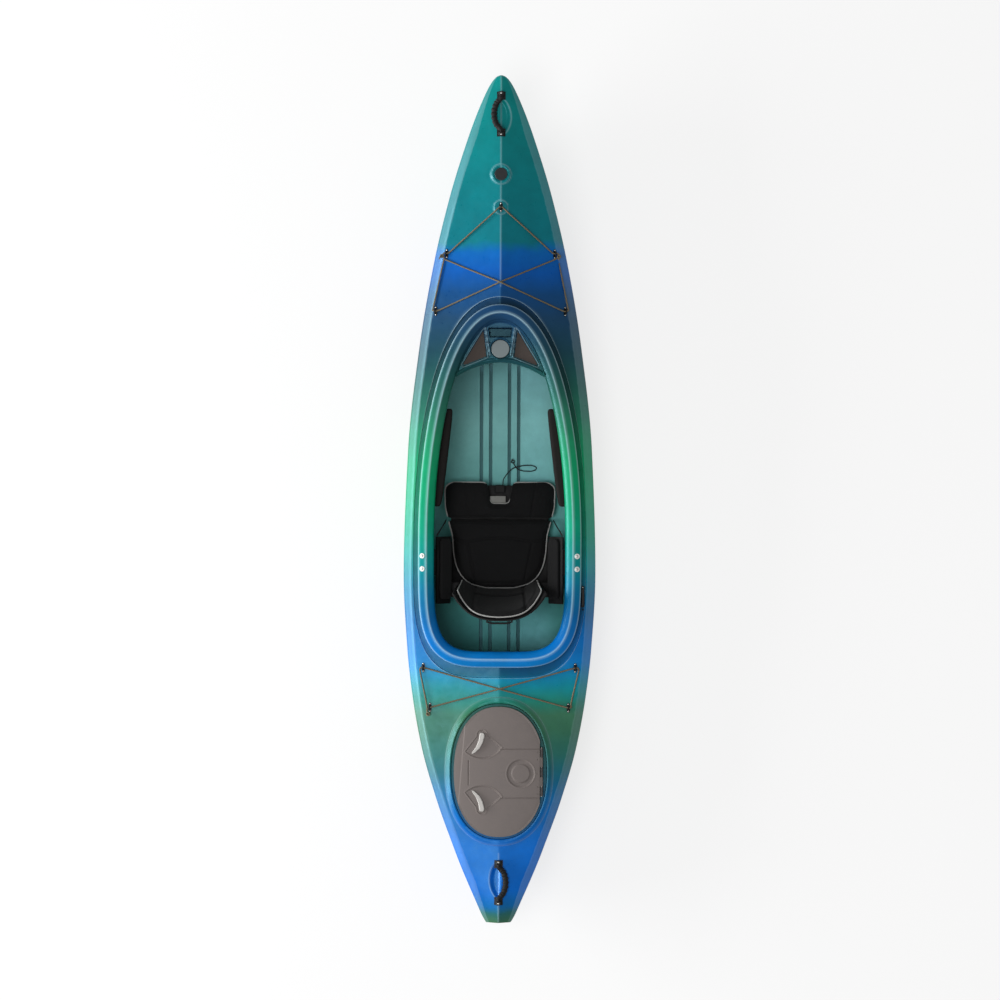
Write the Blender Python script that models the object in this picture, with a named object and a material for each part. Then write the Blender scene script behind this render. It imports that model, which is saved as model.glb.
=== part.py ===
"""A recreational kayak: a moulded hull with a long cockpit, a padded seat with a hinged back
and a lifting front, foot braces, thigh pads, a hinged and latched stern hatch, shock-cord deck
rigging, swinging carry handles and a drop-down skeg.

Metres, bow towards +Y, starboard towards +X, keel strakes standing on Z = 0."""

import math

import bmesh
import bpy
import numpy as np
from mathutils import Matrix, Vector

# Hull
LENGTH = 3.20
BEAM = 0.73
WALL = 0.005
KEEL_Z = 0.008
SHEER_LOW = 0.217
SHEER_BOW = 0.335
SHEER_STERN = 0.262
DECK_EDGE_WIDTH = 0.034
DECK_EDGE_RISE = 0.030
BILGE_STEPS = 6
# Places along the hull run from 0 at the stern to 1 at the bow.
HALF_BEAM_SHAPE = ((0, 0.13), (0.028, 0.25), (0.0875, 0.468), (0.1465, 0.655), (0.205, 0.803),
                   (0.264, 0.899), (0.323, 0.959), (0.4125, 1.0), (0.559, 0.959), (0.678, 0.847),
                   (0.784, 0.688), (0.855, 0.54), (0.925, 0.351), (0.972, 0.192), (1, 0.012))
KEEL_RISE = ((0, 0.097), (0.03, 0.047), (0.09, 0.016), (0.19, 0.004), (0.34, 0), (0.64, 0),
             (0.78, 0.006), (0.875, 0.022), (0.9375, 0.067), (0.97, 0.125), (0.99, 0.2), (1, 0.27))
RIDGE_HEIGHT = ((0, 0.290), (0.1, 0.284), (0.3, 0.284), (0.45, 0.295), (0.6, 0.325),
                (0.735, 0.372), (0.8, 0.366), (0.9, 0.356), (1, 0.347))
FULLNESS = ((0, 1.5), (0.12, 1.9), (0.31, 2.6), (0.6, 2.7), (0.78, 2.1), (0.9, 1.45), (1, 1.2))
BOW_STEPS = (0.0012, 0.0037, 0.0094, 0.0187, 0.031, 0.047, 0.066, 0.088)
STATION_STEP = 0.036
FIT = 0.0004

# Keel strakes, and the grooves inside that mould them
STRAKE_PLACES = (-0.072, -0.036, 0.036, 0.072)
STRAKE_WIDTH = 0.011
STRAKE_FRONT = 0.50
STRAKE_BACK = -0.57
STRAKE_RAMP = 0.05

# Cockpit opening and the rolled rim around it
COCKPIT_HALF_WIDTH = 0.2486
COCKPIT_MIDDLE = -0.16
COCKPIT_FRONT_REACH = 0.835
COCKPIT_BACK_REACH = 0.414
COCKPIT_FRONT_Y = COCKPIT_MIDDLE + COCKPIT_FRONT_REACH
COCKPIT_FRONT_POWER = 2.05
COCKPIT_BACK_POWER = 4.7
OUTLINE_POINTS = 46
TURN_WEIGHT = 0.12
RIM_WIDTH = 0.060
RIM_NECK = 0.056
RIM_WALL = 0.006
RIM_SKIRT = 0.050
NECK_LIP = 0.0045
RIM_HEIGHT = ((-0.65, 0.309), (-0.3, 0.304), (0.0, 0.312), (0.3, 0.335), (0.55, 0.368), (0.75, 0.398))
GROOVE_SIDE = 0.019
GROOVE_FRONT = 0.029
GROOVE_BACK = 0.041
GROOVE_DEPTH = 0.0025

# Dash tray moulded across the front of the cockpit; its plan runs back from the opening's front
DASH_LENGTH = 0.193
DASH_ARCH_SIDE = COCKPIT_FRONT_Y - DASH_LENGTH
DASH_ARCH_RISE = 0.040
DASH_ARCH_HALF = 0.150
DASH_Z = 0.332
DASH_SLOPE = 0.150
DASH_THICK = 0.012
DASH_POCKET_DEPTH = 0.008
DASH_POCKET = ((0.062, COCKPIT_FRONT_Y - 0.036), (0.067, COCKPIT_FRONT_Y - 0.041),
               (0.143, COCKPIT_FRONT_Y - 0.166), (0.139, COCKPIT_FRONT_Y - 0.171),
               (0.050, COCKPIT_FRONT_Y - 0.136))
DASH_PUCK_Y = COCKPIT_FRONT_Y - 0.106
DASH_PUCK_RADIUS = 0.034
DASH_PUCK_HEIGHT = 0.010
DASH_WELL = ((-0.046, COCKPIT_FRONT_Y - 0.027), (0.046, COCKPIT_FRONT_Y - 0.027),
             (0.040, COCKPIT_FRONT_Y - 0.063), (-0.040, COCKPIT_FRONT_Y - 0.063))

# Stern hatch
HATCH_Y = -1.027
HATCH_HALF_WIDTH = 0.170
HATCH_HALF_LENGTH = 0.2455
HATCH_POWER = 2.25
HATCH_POINTS = 32
HATCH_SEAT_Z = 0.2865
HATCH_SEAT_MARGIN = 0.010
HATCH_HOLE_INSET = 0.024
HATCH_RIM_THICK = 0.003
HATCH_LID_Z = 0.3075
HATCH_LID_THICK = 0.004
HATCH_LID_CROWN = 0.008
HATCH_HINGE_X = 0.161
HATCH_HINGE_Z = 0.3015
HATCH_HINGE_HALF = 0.092
HATCH_KNUCKLE = 0.0055
HINGE_ROD_RADIUS = 0.0022
LATCH_X = -0.064
LATCH_OFFSET = 0.140
LATCH_REACH = 0.080
LATCH_LEAN = 28.0
LATCH_SPINDLE = 0.006
LATCH_SWING = 68.0
LATCH_CLEAR = 0.0012

# Carry handles
HANDLE_SPAN = 0.169
BOW_HANDLE_Y = 1.452
STERN_HANDLE_Y = -1.447
HANDLE_REACH = 0.035
HANDLE_RADIUS = 0.0085
HANDLE_RIB = 0.0014
HANDLE_PIN_RADIUS = 0.0045
HANDLE_AXIS_RISE = 0.0125
BRACKET_LENGTH = 0.030
BRACKET_WIDTH = 0.032
BRACKET_HEIGHT = 0.019
BRACKET_BASE = 0.004

# Deck rigging
CORD_DIAMETER = 0.0055
CORD_BEVEL_STEPS = 2
EYE_LENGTH = 0.038
EYE_WIDTH = 0.014
EYE_BASE = 0.003
EYE_ARCH = 0.0098
EYE_WIRE = 0.0026
BOW_EYE_Y = 1.101
BOW_FRONT_EYES_Y = 0.930
BOW_BACK_EYES_Y = COCKPIT_FRONT_Y + 0.039
BOW_EYE_INSET = 0.009
STERN_FRONT_EYES_Y = -0.636
STERN_BACK_EYES_Y = -0.787
STERN_FRONT_EYE_X = 0.288
STERN_BACK_EYE_X = 0.262
ROUNDEL_Y = 1.226
ROUNDEL_RADIUS = 0.0235
ROUNDEL_SEAT = 0.037
EYE_SEAT = 0.026
SEAT_DROP = 0.002
ROUNDEL_THICK = 0.004

# Seat
SEAT_BACK_Y = -0.338
SEAT_SPLIT_Y = -0.073
SEAT_FRONT_Y = 0.068
SEAT_PAN_Z = 0.052
SEAT_PAN_THICK = 0.004
SEAT_RUNNER_X = 0.092
SEAT_RUNNER_WIDTH = 0.016
SEAT_HALF_WIDTH = ((-0.340, 0.050), (-0.320, 0.118), (-0.285, 0.155), (-0.245, 0.173),
                   (-0.200, 0.1815), (-0.140, 0.186), (-0.100, 0.196), (-0.060, 0.206),
                   (-0.020, 0.214), (0.035, 0.2155), (0.070, 0.205))
CUSHION_EDGE = 0.014
CUSHION_CROWN = 0.024
CUSHION_GAP = 0.012
NOTCH_HALF = 0.043
NOTCH_DEPTH = 0.082
LIFTER_THICK = 0.004
BUCKLE_LENGTH = 0.032
BUCKLE_FRONT = 0.058
BACK_PIVOT_Y = -0.362
BACK_PIVOT_Z = 0.150
BACK_PIVOT_RADIUS = 0.005
BACK_BOTTOM_Z = 0.105
BACK_TOP_Z = 0.352
BACK_BOTTOM_Y = -0.352
BACK_TOP_Y = -0.452
BACK_HALF_BOTTOM = 0.150
BACK_HALF_TOP = 0.1755
BACK_WRAP_BOTTOM = 0.045
BACK_WRAP_TOP = 0.100
BACK_SHELL = 0.005
BACK_PAD = 0.026
BACK_PAD_SEAM = 0.009
BACK_PAD_CLEAR = 0.0010

# Side plates that carry the seat from the rim
PLATE_X = 0.188
PLATE_THICK = 0.004
PLATE_FRONT = -0.140
PLATE_BACK = -0.395
PLATE_KNEE_Z = 0.172
HIP_PAD_THICK = 0.016
SCREW_X = 0.044
SCREW_PLACES = (-0.212, -0.261)
SCREW_RADIUS = 0.0025
WASHER_RADIUS = 0.0105
SPOT_DROP = 0.0045

# Thigh pads
THIGH_FRONT = 0.345
THIGH_BACK = -0.025
THIGH_DEPTH = 0.034
THIGH_LOW = 0.088
THIGH_HIGH = 0.0504

# Foot braces
RAIL_FRONT = 0.86
RAIL_BACK = 0.46
RAIL_Z = 0.130
RAIL_HEIGHT = 0.024
RAIL_THICK = 0.010
PEDAL_Y = 0.64
PEDAL_HEIGHT = 0.105
PEDAL_WIDTH = 0.085

# Bulkhead and bow foam
BULKHEAD_Y = -0.690
BULKHEAD_THICK = 0.020
FOAM_FRONT = 1.06
FOAM_BACK = 0.87
FOAM_WIDTH = 0.075

# Skeg
SKEG_PIVOT_Y = -1.180
SKEG_PIVOT_Z = 0.040
SKEG_LENGTH = 0.190
SKEG_THICK = 0.006
SKEG_BOX_WALL = 0.004
SKEG_SLOT = 0.010
SKEG_BOX_TOP = 0.150
SKEG_PIN_RADIUS = 0.003
CLEAT_Y = -0.366
CLEAT_LENGTH = 0.076
CLEAT_WIDTH = 0.012
LINE_DIAMETER = 0.005


def clear_scene():
    for obj in list(bpy.data.objects):
        bpy.data.objects.remove(obj, do_unlink=True)


def plastic(name, colour, roughness=0.45, metallic=0.0):
    material = bpy.data.materials.new(name)
    material.use_nodes = True
    shader = material.node_tree.nodes["Principled BSDF"]
    shader.inputs["Base Color"].default_value = (*colour, 1.0)
    shader.inputs["Roughness"].default_value = roughness
    shader.inputs["Metallic"].default_value = metallic
    return material


def smooth(table):
    """A curve through (place, value) pairs that never overshoots between them."""
    place, value = np.array(table, float).T
    step = np.diff(place)
    slope = np.diff(value) / step
    tangent = np.zeros_like(value)
    tangent[0], tangent[-1] = slope[0], slope[-1]
    for i in range(1, len(place) - 1):
        if slope[i - 1] * slope[i] > 0:
            before, after = 2 * step[i] + step[i - 1], step[i] + 2 * step[i - 1]
            tangent[i] = (before + after) / (before / slope[i - 1] + after / slope[i])

    def at(position):
        position = min(max(position, place[0]), place[-1])
        i = min(max(int(np.searchsorted(place, position, side="right")) - 1, 0), len(step) - 1)
        t = (position - place[i]) / step[i]
        return float((2 * t**3 - 3 * t**2 + 1) * value[i] + (t**3 - 2 * t**2 + t) * step[i] * tangent[i]
                     + (3 * t**2 - 2 * t**3) * value[i + 1] + (t**3 - t**2) * step[i] * tangent[i + 1])

    return at


beam_squared = smooth([(place, share * share) for place, share in HALF_BEAM_SHAPE])
keel_rise = smooth(KEEL_RISE)
ridge_height = smooth(RIDGE_HEIGHT)
fullness = smooth(FULLNESS)
rim_height = smooth(RIM_HEIGHT)
seat_half_width = smooth(SEAT_HALF_WIDTH)


def along(y):
    """The share of the hull's length from the stern at this Y."""
    return min(max(y / LENGTH + 0.5, 0.0), 1.0)


def half_beam(y):
    return BEAM / 2 * math.sqrt(beam_squared(along(y)))


def sheer(y):
    """Height of the hull's widest line, lowest a little behind the middle."""
    place, lowest = along(y), 0.45
    if place > lowest:
        return SHEER_LOW + (SHEER_BOW - SHEER_LOW) * ((place - lowest) / (1 - lowest)) ** 2.2
    return SHEER_LOW + (SHEER_STERN - SHEER_LOW) * ((lowest - place) / lowest) ** 1.6


def keel(y):
    return KEEL_Z + keel_rise(along(y))


def ridge(y):
    return ridge_height(along(y))


def deck_edge(y):
    """The crease where the steep edge band meets the deck: its distance from the middle and its height."""
    beam = half_beam(y)
    inset = min(DECK_EDGE_WIDTH, 0.28 * beam)
    rise = DECK_EDGE_RISE * min(1.0, beam / 0.2)
    return beam - inset, min(sheer(y) + rise, ridge(y) - 0.002)


def deck_height(x, y):
    """Height of the deck's outer face."""
    edge_x, edge_z = deck_edge(y)
    if abs(x) <= edge_x:
        return edge_z + (ridge(y) - edge_z) * (1 - abs(x) / edge_x)
    share = min((abs(x) - edge_x) / (half_beam(y) - edge_x), 1.0)
    return edge_z + (sheer(y) - edge_z) * share


def hull_side(y, z, inset):
    """Distance from the middle to the hull's face at this height below the sheer."""
    side, low = sheer(y), keel(y) + inset
    share = min(max((side - z) / (side - low), 0.0), 1.0)
    turn = math.acos(share ** (fullness(along(y)) / 2))
    return (half_beam(y) - inset) * math.sin(turn) ** (2 / fullness(along(y)))


def hull_section(y, inset):
    """The closed outline of the hull at this Y, moved in by inset."""
    beam, side, low = half_beam(y) - inset, sheer(y), keel(y) + inset
    power = 2 / fullness(along(y))
    half = []
    for turn in np.linspace(0, math.pi / 2, BILGE_STEPS + 1):
        x = beam * math.sin(turn) ** power
        z = side - (side - low) * max(math.cos(turn), 0.0) ** power
        half.append((x, z))
    edge_x, edge_z = deck_edge(y)
    edge_x -= 0.6 * inset
    edge_z -= 0.9 * inset
    half.append((edge_x, edge_z))
    half.append((0.0, ridge(y) - inset))
    other = [(-x, z) for x, z in half[-2:0:-1]]
    return [(x, y, z) for x, z in half + other]


def hull_stations(stern_y, bow_y):
    places = [1 - step for step in BOW_STEPS]
    while places[-1] - STATION_STEP > 0.02:
        places.append(places[-1] - STATION_STEP)
    inner = [LENGTH * (place - 0.5) for place in places]
    return [stern_y] + sorted(y for y in inner if stern_y + 0.01 < y < bow_y - 0.001) + [bow_y]


def bend(face):
    """How far a face's corners stand off its own plane."""
    face.normal_update()
    middle = face.calc_center_median()
    return max(abs((corner.co - middle).dot(face.normal)) for corner in face.verts)


def mesh_object(name, vertices, faces, material=None):
    mesh = bpy.data.meshes.new(name)
    mesh.from_pydata([tuple(map(float, v)) for v in vertices], [], faces)
    work = bmesh.new()
    work.from_mesh(mesh)
    bent = [face for face in work.faces if len(face.verts) > 3 and bend(face) > 1e-6]
    bmesh.ops.triangulate(work, faces=bent)
    bmesh.ops.recalc_face_normals(work, faces=work.faces[:])
    work.to_mesh(mesh)
    work.free()
    obj = bpy.data.objects.new(name, mesh)
    bpy.context.scene.collection.objects.link(obj)
    if material:
        mesh.materials.append(material)
    return obj


def loft(name, loops, material=None, ring=False):
    """A skin over closed loops of equal count, with flat ends or joined round into a ring."""
    count = len(loops[0])
    vertices = [point for loop in loops for point in loop]
    rows = len(loops)
    faces = []
    for row in range(rows if ring else rows - 1):
        after = (row + 1) % rows
        for i in range(count):
            j = (i + 1) % count
            faces.append((row * count + i, row * count + j, after * count + j, after * count + i))
    if not ring:
        faces.append(tuple(range(count)))
        faces.append(tuple(range((rows - 1) * count, rows * count)))
    return mesh_object(name, vertices, faces, material)


def prism(name, outline, low, high, material=None):
    """A plan outline raised between two heights, each a number or a function of x and y."""
    low_at = low if callable(low) else lambda x, y: low
    high_at = high if callable(high) else lambda x, y: high
    return loft(name, [[(x, y, low_at(x, y)) for x, y in outline],
                       [(x, y, high_at(x, y)) for x, y in outline]], material)


def box(name, low, high, material=None):
    outline = ((low[0], low[1]), (high[0], low[1]), (high[0], high[1]), (low[0], high[1]))
    return prism(name, outline, low[2], high[2], material)


def rod(name, start, end, radius, sides=20, material=None, end_radius=None):
    """A round bar between two points."""
    start, end = Vector(start), Vector(end)
    axis = (end - start).normalized()
    side = axis.orthogonal().normalized()
    up = axis.cross(side)
    loops = []
    for centre, size in ((start, radius), (end, radius if end_radius is None else end_radius)):
        loops.append([centre + size * (math.cos(a) * side + math.sin(a) * up)
                      for a in np.linspace(0, 2 * math.pi, sides, endpoint=False)])
    return loft(name, loops, material)


def curve(points, steps=8):
    """A smooth curve through the given points."""
    given = [Vector(p) for p in points]
    given = [2 * given[0] - given[1]] + given + [2 * given[-1] - given[-2]]
    found = []
    for a, b, c, d in zip(given, given[1:], given[2:], given[3:]):
        for t in np.linspace(0, 1, steps, endpoint=False):
            found.append(0.5 * (2 * b + (c - a) * t + (2 * a - 5 * b + 4 * c - d) * t**2
                                + (3 * b - a - 3 * c + d) * t**3))
    return found + [given[-2]]


def round_bar(name, points, radius, material, sides_step=2, swell=None):
    """A round bar along points; swell gives each point's share of the radius."""
    data = bpy.data.curves.new(name, "CURVE")
    data.dimensions = "3D"
    data.bevel_depth = radius
    data.bevel_resolution = sides_step
    data.use_fill_caps = True
    data.resolution_u = 1
    spline = data.splines.new("POLY")
    spline.points.add(len(points) - 1)
    for i, (place, point) in enumerate(zip(spline.points, points)):
        place.co = (*point, 1.0)
        place.radius = swell[i] if swell else 1.0
    data.materials.append(material)
    obj = bpy.data.objects.new(name, data)
    bpy.context.scene.collection.objects.link(obj)
    return obj


def finished(obj, keep_material=None):
    """Works an object's modifiers into its mesh."""
    graph = bpy.context.evaluated_depsgraph_get()
    mesh = bpy.data.meshes.new_from_object(obj.evaluated_get(graph))
    mesh.transform(obj.matrix_world)
    material = keep_material or (obj.data.materials[0] if obj.data.materials else None)
    if obj.type == "MESH":
        result = obj
        result.modifiers.clear()
        result.data = mesh
    else:
        name = obj.name
        bpy.data.objects.remove(obj, do_unlink=True)
        result = bpy.data.objects.new(name, mesh)
        bpy.context.scene.collection.objects.link(result)
    result.matrix_world = Matrix.Identity(4)
    mesh.materials.clear()
    if material:
        mesh.materials.append(material)
    return result


def combine(obj, other, operation):
    """Cuts other from obj, joins it on, or keeps what both share, then removes other."""
    if other.type != "MESH":
        other = finished(other)
    bpy.context.view_layer.update()
    change = obj.modifiers.new(operation.title(), "BOOLEAN")
    change.operation = operation
    change.solver = "EXACT"
    change.object = other
    other.hide_render = True
    other.display_type = "WIRE"
    material = obj.data.materials[0] if obj.data.materials else None
    finished(obj, material)
    bpy.data.objects.remove(other, do_unlink=True)
    return obj


def cut(obj, *cutters):
    for cutter in cutters:
        combine(obj, cutter, "DIFFERENCE")
    return obj


def join(obj, *others):
    for other in others:
        combine(obj, other, "UNION")
    return obj


def bevelled(obj, width, segments=1):
    change = obj.modifiers.new("Bevel", "BEVEL")
    change.width = width
    change.segments = segments
    change.limit_method = "ANGLE"
    return finished(obj)


def shade(obj, angle=35.0):
    if obj.type == "MESH":
        obj.data.shade_smooth()
        obj.data.set_sharp_from_angle(angle=math.radians(angle))
    return obj


def set_origin(obj, point):
    """Moves an object's origin onto its joint's axis without moving its shape."""
    obj.data.transform(Matrix.Translation(-Vector(point)))
    obj.matrix_world = Matrix.Translation(Vector(point))
    return obj


def place(obj, origin, across, up):
    """Sets an object down with its X along across and its Z along up."""
    up = Vector(up).normalized()
    across = Vector(across)
    across = (across - across.dot(up) * up).normalized()
    turn = Matrix((across, up.cross(across), up)).transposed().to_4x4()
    obj.matrix_world = Matrix.Translation(Vector(origin)) @ turn
    return obj


def spaced(points, count):
    """Count points round a closed outline from its first one, closer together where it turns more."""
    closed = np.vstack([points, points[:1]])
    sides = np.diff(closed, axis=0)
    heading = np.unwrap(np.arctan2(sides[:, 1], sides[:, 0]))
    turn = np.abs(np.diff(np.append(heading, heading[-1])))
    run = np.concatenate([[0], np.cumsum(np.linalg.norm(sides, axis=1) + TURN_WEIGHT * turn)])
    wanted = np.linspace(0, run[-1], count, endpoint=False)
    return np.stack([np.interp(wanted, run, closed[:, k]) for k in (0, 1)], axis=1)


def oval(half_width, middle_y, front, back, front_power, back_power, count):
    """A plan outline that is an oval of one power in front and another behind, with its outward normals."""
    points = []
    for turn in np.linspace(0, 2 * math.pi, 720, endpoint=False):
        reach, power = (front, front_power) if math.cos(turn) >= 0 else (back, back_power)
        x = half_width * math.copysign(abs(math.sin(turn)) ** (2 / power), math.sin(turn))
        y = middle_y + reach * math.copysign(abs(math.cos(turn)) ** (2 / power), math.cos(turn))
        points.append((x, y))
    outline = spaced(np.array(points), count)
    before, after = outline - np.roll(outline, 1, axis=0), np.roll(outline, -1, axis=0) - outline
    before /= np.linalg.norm(before, axis=1)[:, None]
    after /= np.linalg.norm(after, axis=1)[:, None]
    tangent = before + after
    normal = np.stack([-tangent[:, 1], tangent[:, 0]], axis=1)
    normal /= np.linalg.norm(normal, axis=1)[:, None]
    return outline, normal


cockpit_edge, cockpit_normal = oval(COCKPIT_HALF_WIDTH, COCKPIT_MIDDLE, COCKPIT_FRONT_REACH,
                                    COCKPIT_BACK_REACH, COCKPIT_FRONT_POWER, COCKPIT_BACK_POWER,
                                    OUTLINE_POINTS)
hatch_edge, hatch_normal = oval(HATCH_HALF_WIDTH, HATCH_Y, HATCH_HALF_LENGTH, HATCH_HALF_LENGTH,
                                HATCH_POWER, HATCH_POWER, HATCH_POINTS)


def cockpit_outline(out):
    """The cockpit opening's outline, moved out by a number or by a function of its normal."""
    shift = [out(n) if callable(out) else out for n in cockpit_normal]
    return [tuple(p + n * s) for p, n, s in zip(cockpit_edge, cockpit_normal, shift)]


def hatch_outline(out, straight=True):
    """The lid's outline moved out, cut straight along the hinge."""
    outline = [tuple(p + n * out) for p, n in zip(hatch_edge, hatch_normal)]
    if straight:
        limit = HATCH_HINGE_X - HATCH_KNUCKLE - 0.001 + out
        outline = [(min(x, limit), y) for x, y in outline]
    return outline


def groove_width(normal):
    along_hull = normal[1]
    end = GROOVE_FRONT if along_hull > 0 else GROOVE_BACK
    return RIM_WIDTH + GROOVE_SIDE + (end - GROOVE_SIDE) * along_hull**2


def rim_ring():
    """The rolled cockpit rim: inner skirt, crowned top, lip and neck, open underneath."""
    inner, neck_in = RIM_WALL, RIM_NECK - RIM_WALL
    middle = RIM_WIDTH * 0.47
    top_profile = ((0, -RIM_SKIRT), (0, -0.022), (0.010, -0.008), (middle, 0.0), (0.046, -0.004),
                   (RIM_WIDTH, -0.012), (RIM_WIDTH, -0.018), (RIM_NECK, -0.018))
    under_profile = ((neck_in, -0.015), (middle, -RIM_WALL), (0.012, -0.016), (inner, -0.026),
                     (inner, -RIM_SKIRT))
    loops = []
    for out, drop in top_profile:
        loops.append([(x, y, rim_height(y) + drop) for x, y in cockpit_outline(out)])
    for out in (RIM_NECK, neck_in):
        loops.append([(x, y, deck_height(x, y) - WALL - NECK_LIP) for x, y in cockpit_outline(out)])
    for out, drop in under_profile:
        loops.append([(x, y, rim_height(y) + drop) for x, y in cockpit_outline(out)])
    return loft("rim", loops, ring=True)


def groove_cutter():
    """The shallow channel in the deck round the rim."""
    wide, tight = cockpit_outline(groove_width), cockpit_outline(RIM_NECK - 0.002)
    loops = [[(x, y, deck_height(x, y) - GROOVE_DEPTH) for x, y in wide],
             [(x, y, deck_height(x, y) + 0.02) for x, y in wide],
             [(x, y, deck_height(x, y) + 0.02) for x, y in tight],
             [(x, y, deck_height(x, y) - GROOVE_DEPTH) for x, y in tight]]
    return loft("groove", loops, ring=True)


def dash_top(x, y):
    return DASH_Z + DASH_SLOPE * (y - DASH_ARCH_SIDE)


def dash_outline():
    """The front of the opening, closed by an arch that bows forward in the middle."""
    front = [(x, y) for x, y in cockpit_outline(RIM_WALL / 2) if y > DASH_ARCH_SIDE + 0.004]
    front.sort(key=lambda p: math.atan2(p[1] - DASH_ARCH_SIDE, p[0]))
    arch = []
    for share in np.linspace(-1, 1, 13):
        x = share * max(abs(front[0][0]), DASH_ARCH_HALF)
        arch.append((x, DASH_ARCH_SIDE + DASH_ARCH_RISE * (1 - share**2)))
    return front + arch


def add_dash(rim):
    panel = prism("dash", dash_outline(), lambda x, y: dash_top(x, y) - DASH_THICK, dash_top)
    for side in (-1, 1):
        pocket = [(side * x, y) for x, y in DASH_POCKET]
        cut(panel, prism("pocket", pocket, lambda x, y: dash_top(x, y) - DASH_POCKET_DEPTH,
                         lambda x, y: dash_top(x, y) + 0.02))
    cut(panel, prism("well", DASH_WELL, lambda x, y: dash_top(x, y) - 0.03,
                     lambda x, y: dash_top(x, y) + 0.02))
    cut(panel, rod("socket", (0, DASH_PUCK_Y, dash_top(0, DASH_PUCK_Y) - DASH_POCKET_DEPTH),
                   (0, DASH_PUCK_Y, dash_top(0, DASH_PUCK_Y) + 0.03), DASH_PUCK_RADIUS + 2 * FIT, 24))
    return join(rim, panel)


def make_rim():
    """The rim with the dash across its front and the seat screws' spot faces and holes."""
    rim = add_dash(rim_ring())
    for side in (-1, 1):
        for y in SCREW_PLACES:
            x = side * (rim_edge_x(y) + SCREW_X)
            cut(rim, rod("spot_face", (x, y, rim_height(y) - SPOT_DROP), (x, y, rim_height(y) + 0.02),
                         WASHER_RADIUS + 2 * FIT, 14),
                rod("screw_hole", (x, y, rim_height(y) - 0.03), (x, y, rim_height(y) + 0.02),
                    SCREW_RADIUS + FIT, 8))
    return rim


def strake(x, low, high, width, front, back, ramp):
    """A long bar whose ends ramp up into the hull's bottom."""
    half = width / 2
    loops = []
    for y, bottom in ((back - ramp, high - 0.001), (back, low), (front, low), (front + ramp, high - 0.001)):
        loops.append([(x - half, y, bottom), (x + half, y, bottom),
                      (x + half * 1.3, y, high), (x - half * 1.3, y, high)])
    return loft("strake", loops)


def level_seat(hull, y, radius, drop):
    """A flat round seat moulded across the deck's ridge."""
    level = ridge(y) - drop
    join(hull, rod("seat", (0, y, level - 0.025), (0, y, level + 0.0005), radius, 24))
    return cut(hull, rod("clearance", (0, y, level), (0, y, level + 0.05), radius + 0.0008, 24))


def add_hatch_seat(hull):
    seat = prism("hatch_seat", hatch_outline(HATCH_SEAT_MARGIN, False), 0.262, HATCH_SEAT_Z + 0.0005)
    join(hull, seat)
    pad = box("hinge_pad", (HATCH_HINGE_X - 0.02, HATCH_Y - HATCH_HINGE_HALF - 0.01, 0.264),
              (HATCH_HINGE_X + 0.016, HATCH_Y + HATCH_HINGE_HALF + 0.01, HATCH_SEAT_Z))
    join(hull, pad)
    clear = prism("level", hatch_outline(HATCH_SEAT_MARGIN + 0.0008, False), HATCH_SEAT_Z, 0.33)
    hole = prism("hole", hatch_outline(-HATCH_HOLE_INSET, False), 0.20, 0.33)
    return cut(hull, clear, hole)


def make_hull(material):
    half = LENGTH / 2
    hull = loft("hull", [hull_section(y, 0) for y in hull_stations(-half, half)], material)
    for x in STRAKE_PLACES:
        join(hull, strake(x, 0.0, KEEL_Z + 0.003, STRAKE_WIDTH, STRAKE_FRONT, STRAKE_BACK, STRAKE_RAMP))
    hollow = loft("hollow", [hull_section(y, WALL) for y in hull_stations(0.025 - half, half - 0.045)])
    cut(hull, hollow)
    for x in STRAKE_PLACES:
        groove = STRAKE_WIDTH / 2 - 0.001
        cut(hull, box("groove", (x - groove, STRAKE_BACK, KEEL_Z - 0.001),
                      (x + groove, STRAKE_FRONT, KEEL_Z + WALL + 0.01)))
    cut(hull, prism("opening", cockpit_outline(RIM_NECK - RIM_WALL / 2), 0.16, 0.6))
    cut(hull, groove_cutter())
    add_hatch_seat(hull)
    level_seat(hull, ROUNDEL_Y, ROUNDEL_SEAT, SEAT_DROP)
    level = ridge(ROUNDEL_Y) - SEAT_DROP
    cut(hull, rod("dish", (0, ROUNDEL_Y, level - 0.003), (0, ROUNDEL_Y, level + 0.02),
                  ROUNDEL_RADIUS + 2 * FIT, 24))
    level_seat(hull, BOW_EYE_Y, EYE_SEAT, SEAT_DROP)
    cut(hull, skeg_block("skeg_opening", FIT, -0.02, SKEG_BOX_TOP * 0.6))
    x, y = cleat_place()
    cut(hull, rod("line_hole", (x, y, deck_height(x, y) - 0.03), (x, y, deck_height(x, y) + 0.02),
                  LINE_DIAMETER / 2 + 0.001, 12))
    return shade(join(hull, make_rim()))


def rim_edge_x(y):
    """Half the cockpit opening's width at this Y."""
    reach, power = ((COCKPIT_FRONT_REACH, COCKPIT_FRONT_POWER) if y > COCKPIT_MIDDLE
                    else (COCKPIT_BACK_REACH, COCKPIT_BACK_POWER))
    share = min(abs(y - COCKPIT_MIDDLE) / reach, 1.0)
    return COCKPIT_HALF_WIDTH * (1 - share**power) ** (1 / power)


def core(name):
    """The space inside the hull, a fit clear of its walls."""
    half = LENGTH / 2
    stations = hull_stations(0.026 - half, half - 0.046)
    return loft(name, [hull_section(y, WALL + FIT) for y in stations])


def make_bulkhead(material):
    slab = box("rear_bulkhead", (-BEAM / 2, BULKHEAD_Y - BULKHEAD_THICK / 2, -0.01),
               (BEAM / 2, BULKHEAD_Y + BULKHEAD_THICK / 2, 0.5), material)
    combine(slab, core("core"), "INTERSECT")
    x, z = line_at_bulkhead()
    cut(slab, rod("line_hole", (x, BULKHEAD_Y - 0.05, z), (x, BULKHEAD_Y + 0.05, z),
                  LINE_DIAMETER / 2 + 0.0025, 12))
    return slab


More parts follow.
